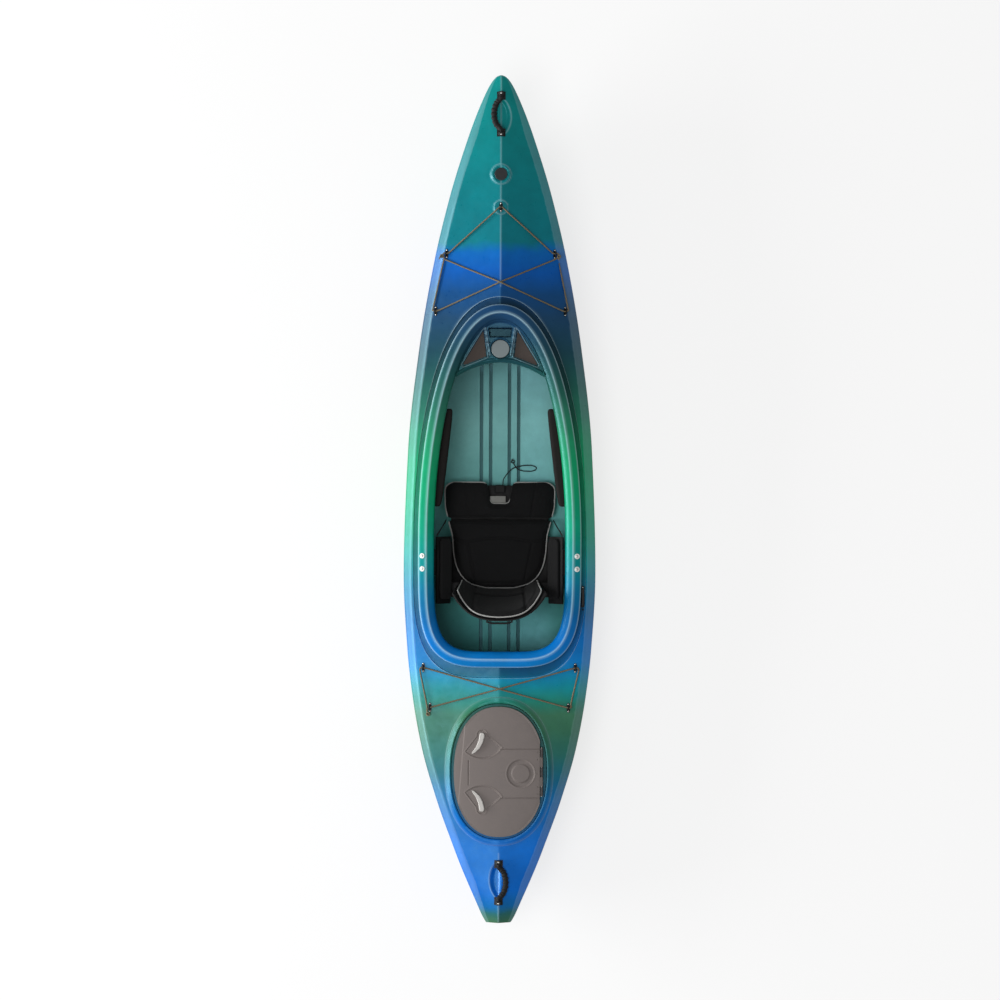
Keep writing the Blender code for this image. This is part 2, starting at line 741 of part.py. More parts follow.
def make_bow_foam(material):
    slab = box("bow_foam_block", (-FOAM_WIDTH / 2, FOAM_BACK, -0.01),
               (FOAM_WIDTH / 2, FOAM_FRONT, 0.5), material)
    return combine(slab, core("core"), "INTERSECT")


# Handles

def handle_axis(middle_y):
    """The two ends of the line that a handle swings about, above the ridge."""
    ends = []
    for side in (1, -1):
        y = middle_y + side * (HANDLE_SPAN / 2 - BRACKET_LENGTH / 2)
        ends.append(Vector((0, y, ridge(y) + HANDLE_AXIS_RISE)))
    return ends


def make_bracket(name, end, inward, material):
    """A saddle on the ridge with an upright eye for the grip's pin."""
    y = end.y
    half_l, half_w = BRACKET_LENGTH / 2, BRACKET_WIDTH / 2
    across = (-half_w, 0.0, half_w)
    loops = []
    for py in (y - half_l, y + half_l):
        under = [(px, py, deck_height(px, py) + 3 * FIT) for px in across]
        over = [(px, py, deck_height(px, py) + BRACKET_BASE) for px in reversed(across)]
        loops.append(under + over)
    saddle = loft(name, loops, material)
    away = -inward
    low = ridge(y) + BRACKET_BASE * 0.6
    block = box("block", (-0.0095, min(y + away * half_l, y - away * 0.001), low),
                (0.0095, max(y + away * half_l, y - away * 0.001), ridge(y) + BRACKET_HEIGHT))
    join(saddle, bevelled(block, 0.003))
    for side in (-1, 1):
        x, sy = side * 0.0115, y + inward * 0.008
        top = deck_height(x, sy) + BRACKET_BASE
        join(saddle, rod("screw_head", (x, sy, top - 0.002), (x, sy, top + 0.0015), 0.0036, 8,
                         end_radius=0.0028))
    return shade(saddle)


def make_handle(prefix, middle_y, side, material):
    """A ribbed arched grip whose end pins turn in two brackets; it lies over to one side."""
    front, back = handle_axis(middle_y)
    tip_y = middle_y
    rest_z = deck_height(HANDLE_REACH, tip_y) + HANDLE_RADIUS + HANDLE_RIB + FIT
    axis_mid = (front + back) / 2
    drop = axis_mid.z - rest_z
    pin = BRACKET_LENGTH / 2
    reach = Vector((side * HANDLE_REACH, 0, -drop))
    route = []
    for share, out in ((0.0, 0.0), (0.04, 0.0), (0.088, 0.10), (0.15, 0.40), (0.22, 0.68), (0.35, 0.92),
                       (0.5, 1.0), (0.65, 0.92), (0.78, 0.68), (0.85, 0.40), (0.912, 0.10),
                       (0.96, 0.0), (1.0, 0.0)):
        route.append(front + (back - front) * share + reach * out)
    points = curve(route, 3)
    total = len(points) - 1
    swell = []
    for i in range(total + 1):
        share = i / total
        if share < 0.10 or share > 0.90:
            swell.append(HANDLE_PIN_RADIUS / HANDLE_RADIUS)
        elif 0.24 < share < 0.76:
            swell.append(1.0 + HANDLE_RIB / HANDLE_RADIUS * (i % 2))
        else:
            swell.append(0.86)
    grip = finished(round_bar(prefix + "_handle_grip", points, HANDLE_RADIUS, material, 1, swell))
    set_origin(shade(grip, 60), axis_mid)
    for name, end, inward in (("fore", front, -1), ("aft", back, 1)):
        bracket = make_bracket(prefix + "_handle_bracket_" + name, end, inward, material)
        hole_end = end + (front - back).normalized() * (-inward) * 0.0015
        start = end + (front - back).normalized() * inward * (BRACKET_LENGTH)
        cut(bracket, rod("pin_hole", start, hole_end, HANDLE_PIN_RADIUS + FIT, 12))
        shade(bracket)
    return grip


# Deck rigging

def make_eye_mesh(material):
    """A pad eye: an oval plate with a round arch over it."""
    outline = []
    for turn in np.linspace(0, 2 * math.pi, 12, endpoint=False):
        outline.append((EYE_WIDTH / 2 * math.sin(turn), EYE_LENGTH / 2 * math.cos(turn)))
    eye = prism("eye", outline, 0.0, EYE_BASE, material)
    arch = [(0, EYE_ARCH * math.cos(a), EYE_BASE - 0.001 + 0.0115 * math.sin(a))
            for a in np.linspace(0, math.pi, 7)]
    join(eye, round_bar("arch", arch, EYE_WIRE, material, 1))
    shade(eye)
    mesh = eye.data
    bpy.data.objects.remove(eye, do_unlink=True)
    return mesh


def deck_normal(x, y):
    step = 0.004
    side = math.copysign(step, -x) if abs(x) > step else 0.0
    slope_x = (deck_height(x + side, y) - deck_height(x, y)) / side if side else 0.0
    slope_y = (deck_height(x, y + step) - deck_height(x, y - step)) / (2 * step)
    return Vector((-slope_x, -slope_y, 1)).normalized()


def eye_places():
    """Where each pad eye stands, and the turn of its arch about the deck's normal."""
    found = {"bow_pad_eye_centre": (0.0, BOW_EYE_Y, 0.0)}
    for side, word in ((-1, "port"), (1, "starboard")):
        for row, y in (("fore", BOW_FRONT_EYES_Y), ("aft", BOW_BACK_EYES_Y)):
            x = side * (deck_edge(y)[0] - BOW_EYE_INSET)
            found["bow_pad_eye_" + row + "_" + word] = (x, y, 0.0)
        for row, x, y in (("fore", STERN_FRONT_EYE_X, STERN_FRONT_EYES_Y),
                          ("aft", STERN_BACK_EYE_X, STERN_BACK_EYES_Y)):
            found["stern_pad_eye_" + row + "_" + word] = (side * x, y, 0.0)
    return found


def eye_level(name, x, y):
    if name == "bow_pad_eye_centre":
        return ridge(y) - SEAT_DROP + FIT
    return deck_height(x, y) + FIT * 1.5


def make_eyes(material):
    mesh = make_eye_mesh(material)
    for name, (x, y, _) in eye_places().items():
        eye = bpy.data.objects.new(name, mesh)
        bpy.context.scene.collection.objects.link(eye)
        up = (0, 0, 1) if name == "bow_pad_eye_centre" else deck_normal(x, y)
        place(eye, (x, y, eye_level(name, x, y)), (1, 0, 0), up)


def eye_hole(name, across=0.0, along_hull=0.0, lift=0.0):
    """A point in or beside a pad eye's arch, on the line of the cord through it."""
    x, y, _ = eye_places()[name]
    up = Vector((0, 0, 1)) if name == "bow_pad_eye_centre" else deck_normal(x, y)
    side = Vector((1, 0, 0))
    side = (side - side.dot(up) * up).normalized()
    ahead = up.cross(side)
    base = Vector((x, y, eye_level(name, x, y)))
    return base + up * (EYE_BASE + CORD_DIAMETER / 2 + FIT + lift) + side * across + ahead * along_hull


def over_deck(start, end, count, lift=0.0, lift_at=0.5):
    """Points between two pad eyes where the taut cord lies on the deck, lifted where it crosses another."""
    found = []
    shares = list(np.linspace(0, 1, count + 2)[1:-1])
    if start.x * end.x < 0 and abs(start.x) > 0.05 and abs(end.x) > 0.05:
        middle = start.x / (start.x - end.x)
        near = 0.012 / (start - end).length
        shares = sorted([share for share in shares if abs(share - middle) > 3 * near]
                        + [middle - 2 * near, middle - near * 0.6, middle + near * 0.6, middle + 2 * near])
    for share in shares:
        point = start.lerp(end, share)
        hump = lift * math.exp(-((share - lift_at) / 0.09) ** 2)
        lowest = deck_height(point.x, point.y) + CORD_DIAMETER / 2 + 0.0024 + hump
        found.append(Vector((point.x, point.y, max(lowest, point.z if lift == 0.0 else lowest))))
    return found


def cord(name, points, knots, material):
    """Shock cord through the given points, with a knot's swelling near the listed points."""
    swell = [1.0] * len(points)
    for knot in knots:
        swell[knot] = 1.75
    return round_bar(name, points, CORD_DIAMETER / 2, material, CORD_BEVEL_STEPS, swell)


def make_bow_bungee(material):
    port, star = "bow_pad_eye_fore_port", "bow_pad_eye_fore_starboard"
    port_aft, star_aft = "bow_pad_eye_aft_port", "bow_pad_eye_aft_starboard"
    centre = "bow_pad_eye_centre"
    r = CORD_DIAMETER
    lift = CORD_DIAMETER + 0.001
    points = [eye_hole(port, -0.020, -0.011), eye_hole(port, -0.014, -0.005, 0.0005),
              eye_hole(port, -0.008, 0.0031), eye_hole(port, 0.010, 0.0031)]
    left, right = eye_hole(centre, -0.024, -0.018, 0.0005), eye_hole(centre, 0.024, -0.018, 0.0005)
    points += over_deck(points[-1], left, 4)
    points += [left, eye_hole(centre, -0.009, -0.004), eye_hole(centre, 0.0, 0.001)]
    points += [eye_hole(centre, 0.009, -0.004), right]
    points += over_deck(right, eye_hole(star, -0.010, 0.0031), 4)
    points += [eye_hole(star, -0.010, 0.0031), eye_hole(star, 0.008, 0.0031), eye_hole(star, 0.0145, -0.004)]
    points += [eye_hole(star, 0.0105, -0.0125, 0.001), eye_hole(star, -0.001, -0.0205, 0.001)]
    start, end = points[-1], eye_hole(port_aft, 0.012, 0.002)
    points += over_deck(start, end, 6)
    points += [end, eye_hole(port_aft, -0.006, 0.001), eye_hole(port_aft, -0.0105, 0.007, 0.0005)]
    points += [eye_hole(port_aft, -0.0080, 0.016)]
    points += [eye_hole(port, -0.010, -0.026, 0.0), eye_hole(port, -0.0035, -0.0225, 0.0005)]
    start, end = points[-1], eye_hole(star_aft, -0.012, 0.002)
    points += over_deck(start, end, 6, lift)
    points += [end, eye_hole(star_aft, 0.006, 0.001), eye_hole(star_aft, 0.0105, 0.007, 0.0005)]
    points += [eye_hole(star_aft, 0.0080, 0.018), eye_hole(star, 0.0155, -0.034)]
    return cord("bow_bungee", points, (1, len(points) - 2), material)


def make_stern_bungee(material):
    port, star = "stern_pad_eye_fore_port", "stern_pad_eye_fore_starboard"
    port_aft, star_aft = "stern_pad_eye_aft_port", "stern_pad_eye_aft_starboard"
    lift = CORD_DIAMETER + 0.001
    points = [eye_hole(port_aft, -0.006, -0.030), eye_hole(port_aft, -0.009, -0.019, 0.0005),
              eye_hole(port_aft, -0.0115, -0.008), eye_hole(port_aft, -0.011, 0.006)]
    points += [eye_hole(port, -0.0105, -0.020), eye_hole(port, -0.0115, -0.005), eye_hole(port, -0.006, 0.0)]
    points += [eye_hole(port, 0.012, -0.003)]
    start, end = points[-1], eye_hole(star_aft, -0.012, 0.003)
    points += over_deck(start, end, 6)
    points += [end, eye_hole(star_aft, 0.006, 0.0), eye_hole(star_aft, 0.0115, 0.005)]
    points += [eye_hole(star_aft, 0.0105, 0.020), eye_hole(star, 0.0105, -0.020)]
    points += [eye_hole(star, 0.0115, -0.005), eye_hole(star, 0.006, 0.0), eye_hole(star, -0.012, -0.003)]
    start, end = points[-1], eye_hole(port_aft, 0.012, 0.003)
    points += over_deck(start, end, 6, lift)
    points += [end, eye_hole(port_aft, 0.005, 0.002)]
    return cord("stern_bungee", points, (1,), material)


def make_roundel(material):
    level = ridge(ROUNDEL_Y) - SEAT_DROP
    disc = rod("deck_roundel", (0, ROUNDEL_Y, level - 0.003 + FIT),
               (0, ROUNDEL_Y, level - 0.003 + FIT + ROUNDEL_THICK), ROUNDEL_RADIUS, 24, material)
    return shade(bevelled(disc, 0.0008))


# Hatch

def make_hatch_rim(material):
    """The hatch's frame: a flange on the deck's seat, a neck down the hole and an upstand for the gasket."""
    base, seat = HATCH_SEAT_Z, HATCH_HOLE_INSET
    profile = ((-0.006, base + FIT), (-0.006, base + HATCH_RIM_THICK), (-0.016, base + HATCH_RIM_THICK),
               (-0.016, base + 0.0125), (-0.020, base + 0.0125), (-0.020, base + HATCH_RIM_THICK),
               (-seat - 0.004, base + HATCH_RIM_THICK), (-seat - 0.004, base - 0.020),
               (-seat - FIT, base - 0.020), (-seat - FIT, base + FIT))
    loops = []
    for out, z in profile:
        loops.append([(x, y, z) for x, y in hatch_outline(out)])
    rim = loft("hatch_rim", loops, material, ring=True)
    reach = HATCH_HINGE_X + HATCH_KNUCKLE
    lug_low, lug_high = HATCH_HINGE_X - 0.0045, reach
    for start, end in hinge_spans(True):
        lug = box("lug", (lug_low, start, base + FIT), (lug_high, end, HATCH_HINGE_Z))
        foot = box("foot", (HATCH_HINGE_X - 0.022, start, base + FIT), (reach, end, base + HATCH_RIM_THICK))
        join(rim, foot, lug, rod("knuckle", (HATCH_HINGE_X, start, HATCH_HINGE_Z),
                                 (HATCH_HINGE_X, end, HATCH_HINGE_Z), HATCH_KNUCKLE, 16))
    cut(rim, hinge_bore())
    return shade(rim)


def hinge_spans(fixed):
    """Five knuckles along the hinge: three on the frame and two on the lid between them."""
    pitch = 2 * HATCH_HINGE_HALF / 5
    first = HATCH_Y - HATCH_HINGE_HALF
    wanted = (0, 2, 4) if fixed else (1, 3)
    gap = 0.0005
    return [(first + i * pitch + gap, first + (i + 1) * pitch - gap) for i in wanted]


def hinge_bore():
    return rod("bore", (HATCH_HINGE_X, HATCH_Y - HATCH_HINGE_HALF - 0.02, HATCH_HINGE_Z),
               (HATCH_HINGE_X, HATCH_Y + HATCH_HINGE_HALF + 0.02, HATCH_HINGE_Z),
               HINGE_ROD_RADIUS + FIT, 16)


def make_hinge_rod(material):
    length = HATCH_HINGE_HALF + 0.001
    bar = rod("hatch_hinge_rod", (HATCH_HINGE_X, HATCH_Y - length, HATCH_HINGE_Z),
              (HATCH_HINGE_X, HATCH_Y + length, HATCH_HINGE_Z), HINGE_ROD_RADIUS, 16, material)
    return shade(bar)


def make_gasket(material):
    """A soft ring on the frame's upstand that the lid presses on."""
    low, high = HATCH_SEAT_Z + 0.0125 + FIT, HATCH_LID_Z - HATCH_LID_THICK - FIT
    loops = []
    for out, z in ((-0.0145, low), (-0.0145, high), (-0.0215, high), (-0.0215, low)):
        loops.append([(x, y, z) for x, y in hatch_outline(out)])
    return loft("hatch_gasket", loops, material, ring=True)


def lid_height(x, y):
    """Crown of the lid: high in the middle and falling to its edge."""
    across, back = x / HATCH_HALF_WIDTH, (y - HATCH_Y) / HATCH_HALF_LENGTH
    return HATCH_LID_Z + HATCH_LID_CROWN * max(0.0, 1 - across**2 - back**2) ** 0.8


def shrunk_outline(share):
    outline = hatch_outline(0.0)
    return [(x * share, HATCH_Y + (y - HATCH_Y) * share) for x, y in outline]


def latch_level():
    """Height of both levers' undersides: clear of the lid at the spindle, and sunk a little in the recess."""
    return lid_height(LATCH_X, HATCH_Y + LATCH_OFFSET) + 0.0006


def latch_sector(side):
    """The recess that a lever swings in: a sector of the lid from the lever's rest to its full turn."""
    x, y = LATCH_X, HATCH_Y + side * LATCH_OFFSET
    reach = LATCH_REACH + 0.006
    points = [(x - 0.012, y + side * 0.012), (x - 0.0145, y - side * 0.004)]
    for turn in np.linspace(-LATCH_LEAN - 9.0, LATCH_SWING - LATCH_LEAN + 10.0, 11):
        angle = math.radians(turn)
        points.append((x + reach * math.sin(angle), y - side * reach * math.cos(angle)))
    points += [(x + 0.034, y - side * 0.010), (x + 0.0145, y + side * 0.006), (x + 0.010, y + side * 0.013)]
    return points


def make_hatch_cover(material):
    """The lid: a crowned plate with a turned-down edge, hinge knuckles and two dished latch wells."""
    base = HATCH_SEAT_Z + HATCH_RIM_THICK + 0.0006
    edge = 0.004
    loops = [[(x, y, base) for x, y in hatch_outline(-edge)], [(x, y, base) for x, y in hatch_outline(0.0)],
             [(x, y, HATCH_LID_Z - 0.002) for x, y in hatch_outline(0.0)]]
    for share in (0.985, 0.8, 0.4):
        loops.append([(x, y, lid_height(x, y)) for x, y in shrunk_outline(share)])
    crown = len(loops) - 1
    for share in (0.4, 0.8):
        loops.append([(x, y, lid_height(x, y) - HATCH_LID_THICK) for x, y in shrunk_outline(share)])
    loops.append([(x, y, HATCH_LID_Z - HATCH_LID_THICK) for x, y in hatch_outline(-0.012)])
    loops.append([(x, y, HATCH_LID_Z - HATCH_LID_THICK) for x, y in hatch_outline(-edge)])
    count = len(loops[0])
    vertices = [p for loop in loops for p in loop]
    faces = []
    for row in range(len(loops)):
        after = (row + 1) % len(loops)
        for i in range(count):
            j = (i + 1) % count
            if row != crown:
                faces.append((row * count + i, row * count + j, after * count + j, after * count + i))
                continue
            faces.append((row * count + i, row * count + j, len(vertices)))
            faces.append((after * count + i, after * count + j, len(vertices) + 1))
    for drop in (0.0, HATCH_LID_THICK):
        vertices.append((0.0, HATCH_Y, lid_height(0.0, HATCH_Y) - drop))
    lid = mesh_object("hatch_cover", vertices, faces, material)
    for start, end in hinge_spans(False):
        leaf = box("leaf", (HATCH_HINGE_X - 0.018, start, HATCH_HINGE_Z + 0.0012),
                   (HATCH_HINGE_X, end, HATCH_HINGE_Z + 0.0052))
        join(lid, leaf, rod("knuckle", (HATCH_HINGE_X, start, HATCH_HINGE_Z),
                            (HATCH_HINGE_X, end, HATCH_HINGE_Z), HATCH_KNUCKLE, 16))
    cut(lid, hinge_bore())
    for side in (1, -1):
        x, y = LATCH_X, HATCH_Y + side * LATCH_OFFSET
        cut(lid, prism("swing_recess", latch_sector(side), latch_level() - LATCH_CLEAR, HATCH_LID_Z + 0.03),
            rod("spindle_hole", (x, y, HATCH_LID_Z - 0.03), (x, y, HATCH_LID_Z + 0.03),
                LATCH_SPINDLE + 2 * FIT, 12))
    return set_origin(shade(lid), (HATCH_HINGE_X, HATCH_Y, HATCH_HINGE_Z))


def make_latch(name, side, material):
    """A tapered curved lever on a spindle through the lid, with a short cam below."""
    x, y = LATCH_X, HATCH_Y + side * LATCH_OFFSET
    lean = math.radians(LATCH_LEAN)
    ahead = Vector((-math.sin(lean), -side * math.cos(lean), 0))
    across = Vector((-side * ahead.y, side * ahead.x, 0))
    low = latch_level()
    loops = []
    for share, half in ((-0.10, 0.004), (-0.04, 0.0095), (0.05, 0.0105), (0.3, 0.009), (0.6, 0.0075),
                        (0.88, 0.005), (1.0, 0.002)):
        bow = 0.009 * math.sin(math.pi * min(max(share, 0.0), 1.0))
        middle = Vector((x, y, 0)) + ahead * LATCH_REACH * share + across * bow
        left, right = middle - across * half, middle + across * half
        inner_left, inner_right = middle - across * half * 0.7, middle + across * half * 0.7
        high = low + 0.0085 - 0.004 * max(share, 0.0)
        loops.append([(left.x, left.y, low), (right.x, right.y, low), (right.x, right.y, high - 0.002),
                      (inner_right.x, inner_right.y, high), (inner_left.x, inner_left.y, high),
                      (left.x, left.y, high - 0.002)])
    lever = loft(name, loops, material)
    join(lever, rod("spindle", (x, y, HATCH_SEAT_Z - 0.004), (x, y, low + 0.002), LATCH_SPINDLE, 12))
    cam = prism("cam", [(x + 0.009, y - 0.009), (x + 0.009, y + 0.009), (x - 0.028, y + 0.006),
                        (x - 0.028, y - 0.006)], HATCH_SEAT_Z - 0.004, HATCH_SEAT_Z + 0.003)
    join(lever, cam)
    return set_origin(shade(lever), (x, y, low))


# Seat

def cushion(name, point, seam, top_rise, bottom_z, columns, rows, material, channel=None):
    """A closed pad over a (u, v) patch: the top swells from the seam and the underside tucks in to a flat.
    u runs -1 to 1 across, v runs 0 to 1 along; channel gives the depth of sewn lines."""
    us = np.sin(np.linspace(-math.pi / 2, math.pi / 2, columns + 1))
    vs = 0.5 + 0.5 * np.sin(np.linspace(-math.pi / 2, math.pi / 2, rows + 1))
    vertices, faces = [], []
    top, under = {}, {}
    for i, u in enumerate(us):
        for j, v in enumerate(vs):
            x, y = point(u, v)
            round_off = (max(0.0, 1 - u**6) * max(0.0, 1 - (2 * v - 1) ** 6)) ** 0.5
            top[i, j] = len(vertices)
            dent = channel(u, v) if channel else 0.0
            vertices.append((x, y, seam + top_rise * round_off - dent * round_off))
            if 0 < i < columns and 0 < j < rows:
                under[i, j] = len(vertices)
                tuck = min(1.0, 2.2 * round_off)
                vertices.append((x, y, seam + (bottom_z - seam) * tuck))
            else:
                under[i, j] = top[i, j]
    for i in range(columns):
        for j in range(rows):
            corners = ((i, j), (i + 1, j), (i + 1, j + 1), (i, j + 1))
            faces.append(tuple(top[c] for c in corners))
            faces.append(tuple(under[c] for c in reversed(corners)))
    return shade(mesh_object(name, vertices, faces, material), 60)


def make_seat_cushion(material):
    low, high = SEAT_BACK_Y, SEAT_SPLIT_Y - CUSHION_GAP / 2

    def point(u, v):
        y = low + (high - low) * v
        return u * (seat_half_width(y) - 0.002), y

    def channel(u, v):
        side = 0.009 * math.exp(-((abs(u) - 0.62) / 0.06) ** 2)
        front = 0.006 * math.exp(-((v - 0.78) / 0.05) ** 2) * (abs(u) < 0.62)
        return side + front

    base = SEAT_PAN_Z + SEAT_PAN_THICK + FIT
    return cushion("seat_cushion", point, base + CUSHION_EDGE, CUSHION_CROWN, base, 16, 12, material,
                   channel)


def make_front_cushion(material):
    low = SEAT_SPLIT_Y + CUSHION_GAP / 2

    def point(u, v):
        x = u * 0.2100
        notch = 1 / (1 + math.exp((abs(x) - NOTCH_HALF) / 0.004))
        y = low + (SEAT_FRONT_Y - NOTCH_DEPTH * notch - low) * v
        return u * (seat_half_width(y) - 0.002), y

    base = SEAT_PAN_Z + SEAT_PAN_THICK + FIT + LIFTER_THICK + FIT
    return set_origin(cushion("seat_front_cushion", point, base + CUSHION_EDGE, CUSHION_CROWN, base,
                              24, 7, material), lifter_pivot())


def seat_outline(front, back, inset, count=9):
    ys = np.linspace(back, front, count)
    right = [(seat_half_width(y) - inset, y) for y in ys]
    return right + [(-x, y) for x, y in reversed(right)]


def lifter_pivot():
    return (0.0, SEAT_SPLIT_Y, SEAT_PAN_Z + SEAT_PAN_THICK + LIFTER_THICK / 2 + FIT)


def make_leg_lifter(material):
    """The stiff board under the front of the seat that tips up to carry the thighs."""
    low = SEAT_PAN_Z + SEAT_PAN_THICK + FIT
    outline = seat_outline(SEAT_FRONT_Y - 0.012, SEAT_SPLIT_Y + CUSHION_GAP / 2 + 0.003, 0.022, 6)
    board = prism("leg_lifter", outline, low, low + LIFTER_THICK, material)
    x, y, z = lifter_pivot()
    for side in (-1, 1):
        a, b = sorted((side * 0.128, side * 0.158))
        tab = box("tab", (a, SEAT_SPLIT_Y, low), (b, SEAT_SPLIT_Y + 0.015, low + LIFTER_THICK))
        join(board, tab, rod("barrel", (a, y, z), (b, y, z), LIFTER_THICK / 2, 12))
    return set_origin(board, lifter_pivot())


def floor_height(x, y):
    """Height of the hull's inner face near the middle of its bottom."""
    low, side = keel(y) + WALL, sheer(y)
    share = min(abs(x) / (half_beam(y) - WALL), 1.0)
    turn = math.asin(share ** (fullness(along(y)) / 2))
    return side - (side - low) * math.cos(turn) ** (2 / fullness(along(y)))


def make_seat_pan(material):
    """The moulded seat base: a plate on two runners, with ends turned up to meet the side plates."""
    plate = prism("seat_pan", seat_outline(SEAT_FRONT_Y - 0.02, SEAT_BACK_Y + 0.004, 0.014, 9),
                  SEAT_PAN_Z, SEAT_PAN_Z + SEAT_PAN_THICK, material)
    for side in (-1, 1):
        half = SEAT_RUNNER_WIDTH / 2
        a, b = sorted((side * (SEAT_RUNNER_X - half), side * (SEAT_RUNNER_X + half)))
        back, front = SEAT_BACK_Y + 0.03, SEAT_FRONT_Y - 0.04
        lowest = max(floor_height(x, y) for x in (a, b) for y in (back, front))
        join(plate, box("runner", (a, back, lowest + 4 * FIT), (b, front, SEAT_PAN_Z + 0.001)))
    return plate


def back_face(u, h, out):
    """A point on the seat back: u -1 to 1 across, h 0 to 1 up, out towards the sitter. Its plan is a bowl,
    two fifths of the square of u and three fifths of its fourth power."""
    half = BACK_HALF_BOTTOM + (BACK_HALF_TOP - BACK_HALF_BOTTOM) * h
    wrap = BACK_WRAP_BOTTOM + (BACK_WRAP_TOP - BACK_WRAP_BOTTOM) * h
    y = BACK_BOTTOM_Y + (BACK_TOP_Y - BACK_BOTTOM_Y) * h + wrap * (0.4 * u**2 + 0.6 * u**4)
    z = BACK_BOTTOM_Z + (BACK_TOP_Z - BACK_BOTTOM_Z) * h - 0.022 * u * u * h
    slope = wrap * (0.8 * u + 2.4 * u**3) / half
    facing = Vector((-slope, 1.0, 0.30)).normalized()
    return Vector((half * u, y, z)) + facing * out


def make_back_frame(material):
    """The stiff curved shell of the seat back, with arms and trunnions that turn in the side plates."""
    columns, rows = 18, 4
    loops = []
    for j in range(rows + 1):
        h = j / rows
        front = [back_face(-1 + 2 * i / columns, h, 0.0) for i in range(columns + 1)]
        rear = [back_face(1 - 2 * i / columns, h, -BACK_SHELL) for i in range(columns + 1)]
        loops.append(front + rear)
    frame = loft("seat_back_frame", loops, material)
    for side in (-1, 1):
        h = (BACK_PIVOT_Z - BACK_BOTTOM_Z) / (BACK_TOP_Z - BACK_BOTTOM_Z)
        edge = back_face(side, h, 0.0)
        outer = side * (PLATE_X - 0.003)
        a, b = sorted((edge.x - side * 0.0005, outer))
        arm = box("arm", (a, BACK_PIVOT_Y - 0.009, BACK_PIVOT_Z - 0.009),
                  (b, edge.y - 0.001, BACK_PIVOT_Z + 0.009))
        join(frame, arm)
        join(frame, rod("trunnion", (outer - side * 0.002, BACK_PIVOT_Y, BACK_PIVOT_Z),
                        (side * (PLATE_X + PLATE_THICK - 0.0005), BACK_PIVOT_Y, BACK_PIVOT_Z),
                        BACK_PIVOT_RADIUS, 16))
    start, end = back_face(-0.27, 0.90, -0.002), back_face(0.27, 0.90, -0.002)
    reach = Vector((0, -0.024, 0))
    grip = [start, start + reach * 0.8, start.lerp(end, 0.2) + reach, start.lerp(end, 0.8) + reach,
            end + reach * 0.8, end]
    join(frame, round_bar("grip", grip, 0.004, material, 1))
    return set_origin(shade(frame), (0, BACK_PIVOT_Y, BACK_PIVOT_Z))


def make_back_pad(material):
    """The padded face of the seat back, crowned, with a sewn panel down the middle."""
    columns, rows = 14, 10
    us = np.sin(np.linspace(-math.pi / 2, math.pi / 2, columns + 1))
    hs = 0.5 + 0.5 * np.sin(np.linspace(-math.pi / 2, math.pi / 2, rows + 1))
    vertices, faces, face_of, back_of = [], [], {}, {}
    for i, u in enumerate(us):
        for j, h in enumerate(hs):
            swell = (max(0.0, 1 - u**6) * max(0.0, 1 - (2 * h - 1) ** 6)) ** 0.5
            seam = 0.007 * math.exp(-((abs(u) - 0.6) / 0.06) ** 2)
            height = 0.03 + h * 0.97
            face_of[i, j] = len(vertices)
            vertices.append(back_face(u, height, BACK_PAD_SEAM + (BACK_PAD - BACK_PAD_SEAM - seam) * swell))
            if 0 < i < columns and 0 < j < rows:
                back_of[i, j] = len(vertices)
                tuck = min(1.0, 2.2 * swell)
                vertices.append(back_face(u, height, BACK_PAD_SEAM + (BACK_PAD_CLEAR - BACK_PAD_SEAM) * tuck))
            else:
                back_of[i, j] = face_of[i, j]
    for i in range(columns):
        for j in range(rows):
            corners = ((i, j), (i + 1, j), (i + 1, j + 1), (i, j + 1))
            faces.append(tuple(face_of[c] for c in corners))
            faces.append(tuple(back_of[c] for c in reversed(corners)))
    pad = shade(mesh_object("seat_back_pad", vertices, faces, material), 60)
    return set_origin(pad, (0, BACK_PIVOT_Y, BACK_PIVOT_Z))


def plate_profile():
    """The side plate's inner face, from the pan up past the knee to just below the rim."""
    top = rim_height(SCREW_PLACES[0]) - RIM_SKIRT
    return (Vector((PLATE_X, SEAT_PAN_Z + 0.006)), Vector((PLATE_X, PLATE_KNEE_Z)),
            Vector((COCKPIT_HALF_WIDTH - 0.010, top - 0.012)))


def make_side_plate(name, side, material):
    """A moulded plate beside the hip. An ear on it hangs from two screws in the rim, and it carries
    the back's pivot."""
    foot, knee, head = plate_profile()
    thick = PLATE_THICK
    section = (foot, knee, head, head + Vector((0.004, -thick)), knee + Vector((thick, -0.001)),
               foot + Vector((thick, 0)))
    loops = [[(side * p.x, y, p.y) for p in section] for y in (PLATE_BACK, PLATE_FRONT)]
    plate = loft(name, loops, material)
    inner = head.x - 0.006
    up, out = COCKPIT_HALF_WIDTH + 0.022, COCKPIT_HALF_WIDTH + SCREW_X + 0.005
    low, high = head.y - 0.006, rim_height(SCREW_PLACES[0]) - 0.0180
    ear = ((inner, low), (up, low), (up, high), (out, high), (out, high - thick), (up + thick, high - thick),
           (up + thick, low - thick), (inner + 0.002, low - thick))
    back, front = SCREW_PLACES[1] - 0.024, SCREW_PLACES[0] + 0.024
    join(plate, loft("ear", [[(side * x, y, z) for x, z in ear] for y in (back, front)]))
    cut(plate, rod("pivot_hole", (side * (PLATE_X - 0.02), BACK_PIVOT_Y, BACK_PIVOT_Z),
                   (side * (PLATE_X + 0.02), BACK_PIVOT_Y, BACK_PIVOT_Z), BACK_PIVOT_RADIUS + FIT, 16))
    for y in SCREW_PLACES:
        x = side * (rim_edge_x(y) + SCREW_X)
        cut(plate, rod("screw_hole", (x, y, high - 0.02), (x, y, high + 0.02), SCREW_RADIUS + FIT, 8))
    return plate


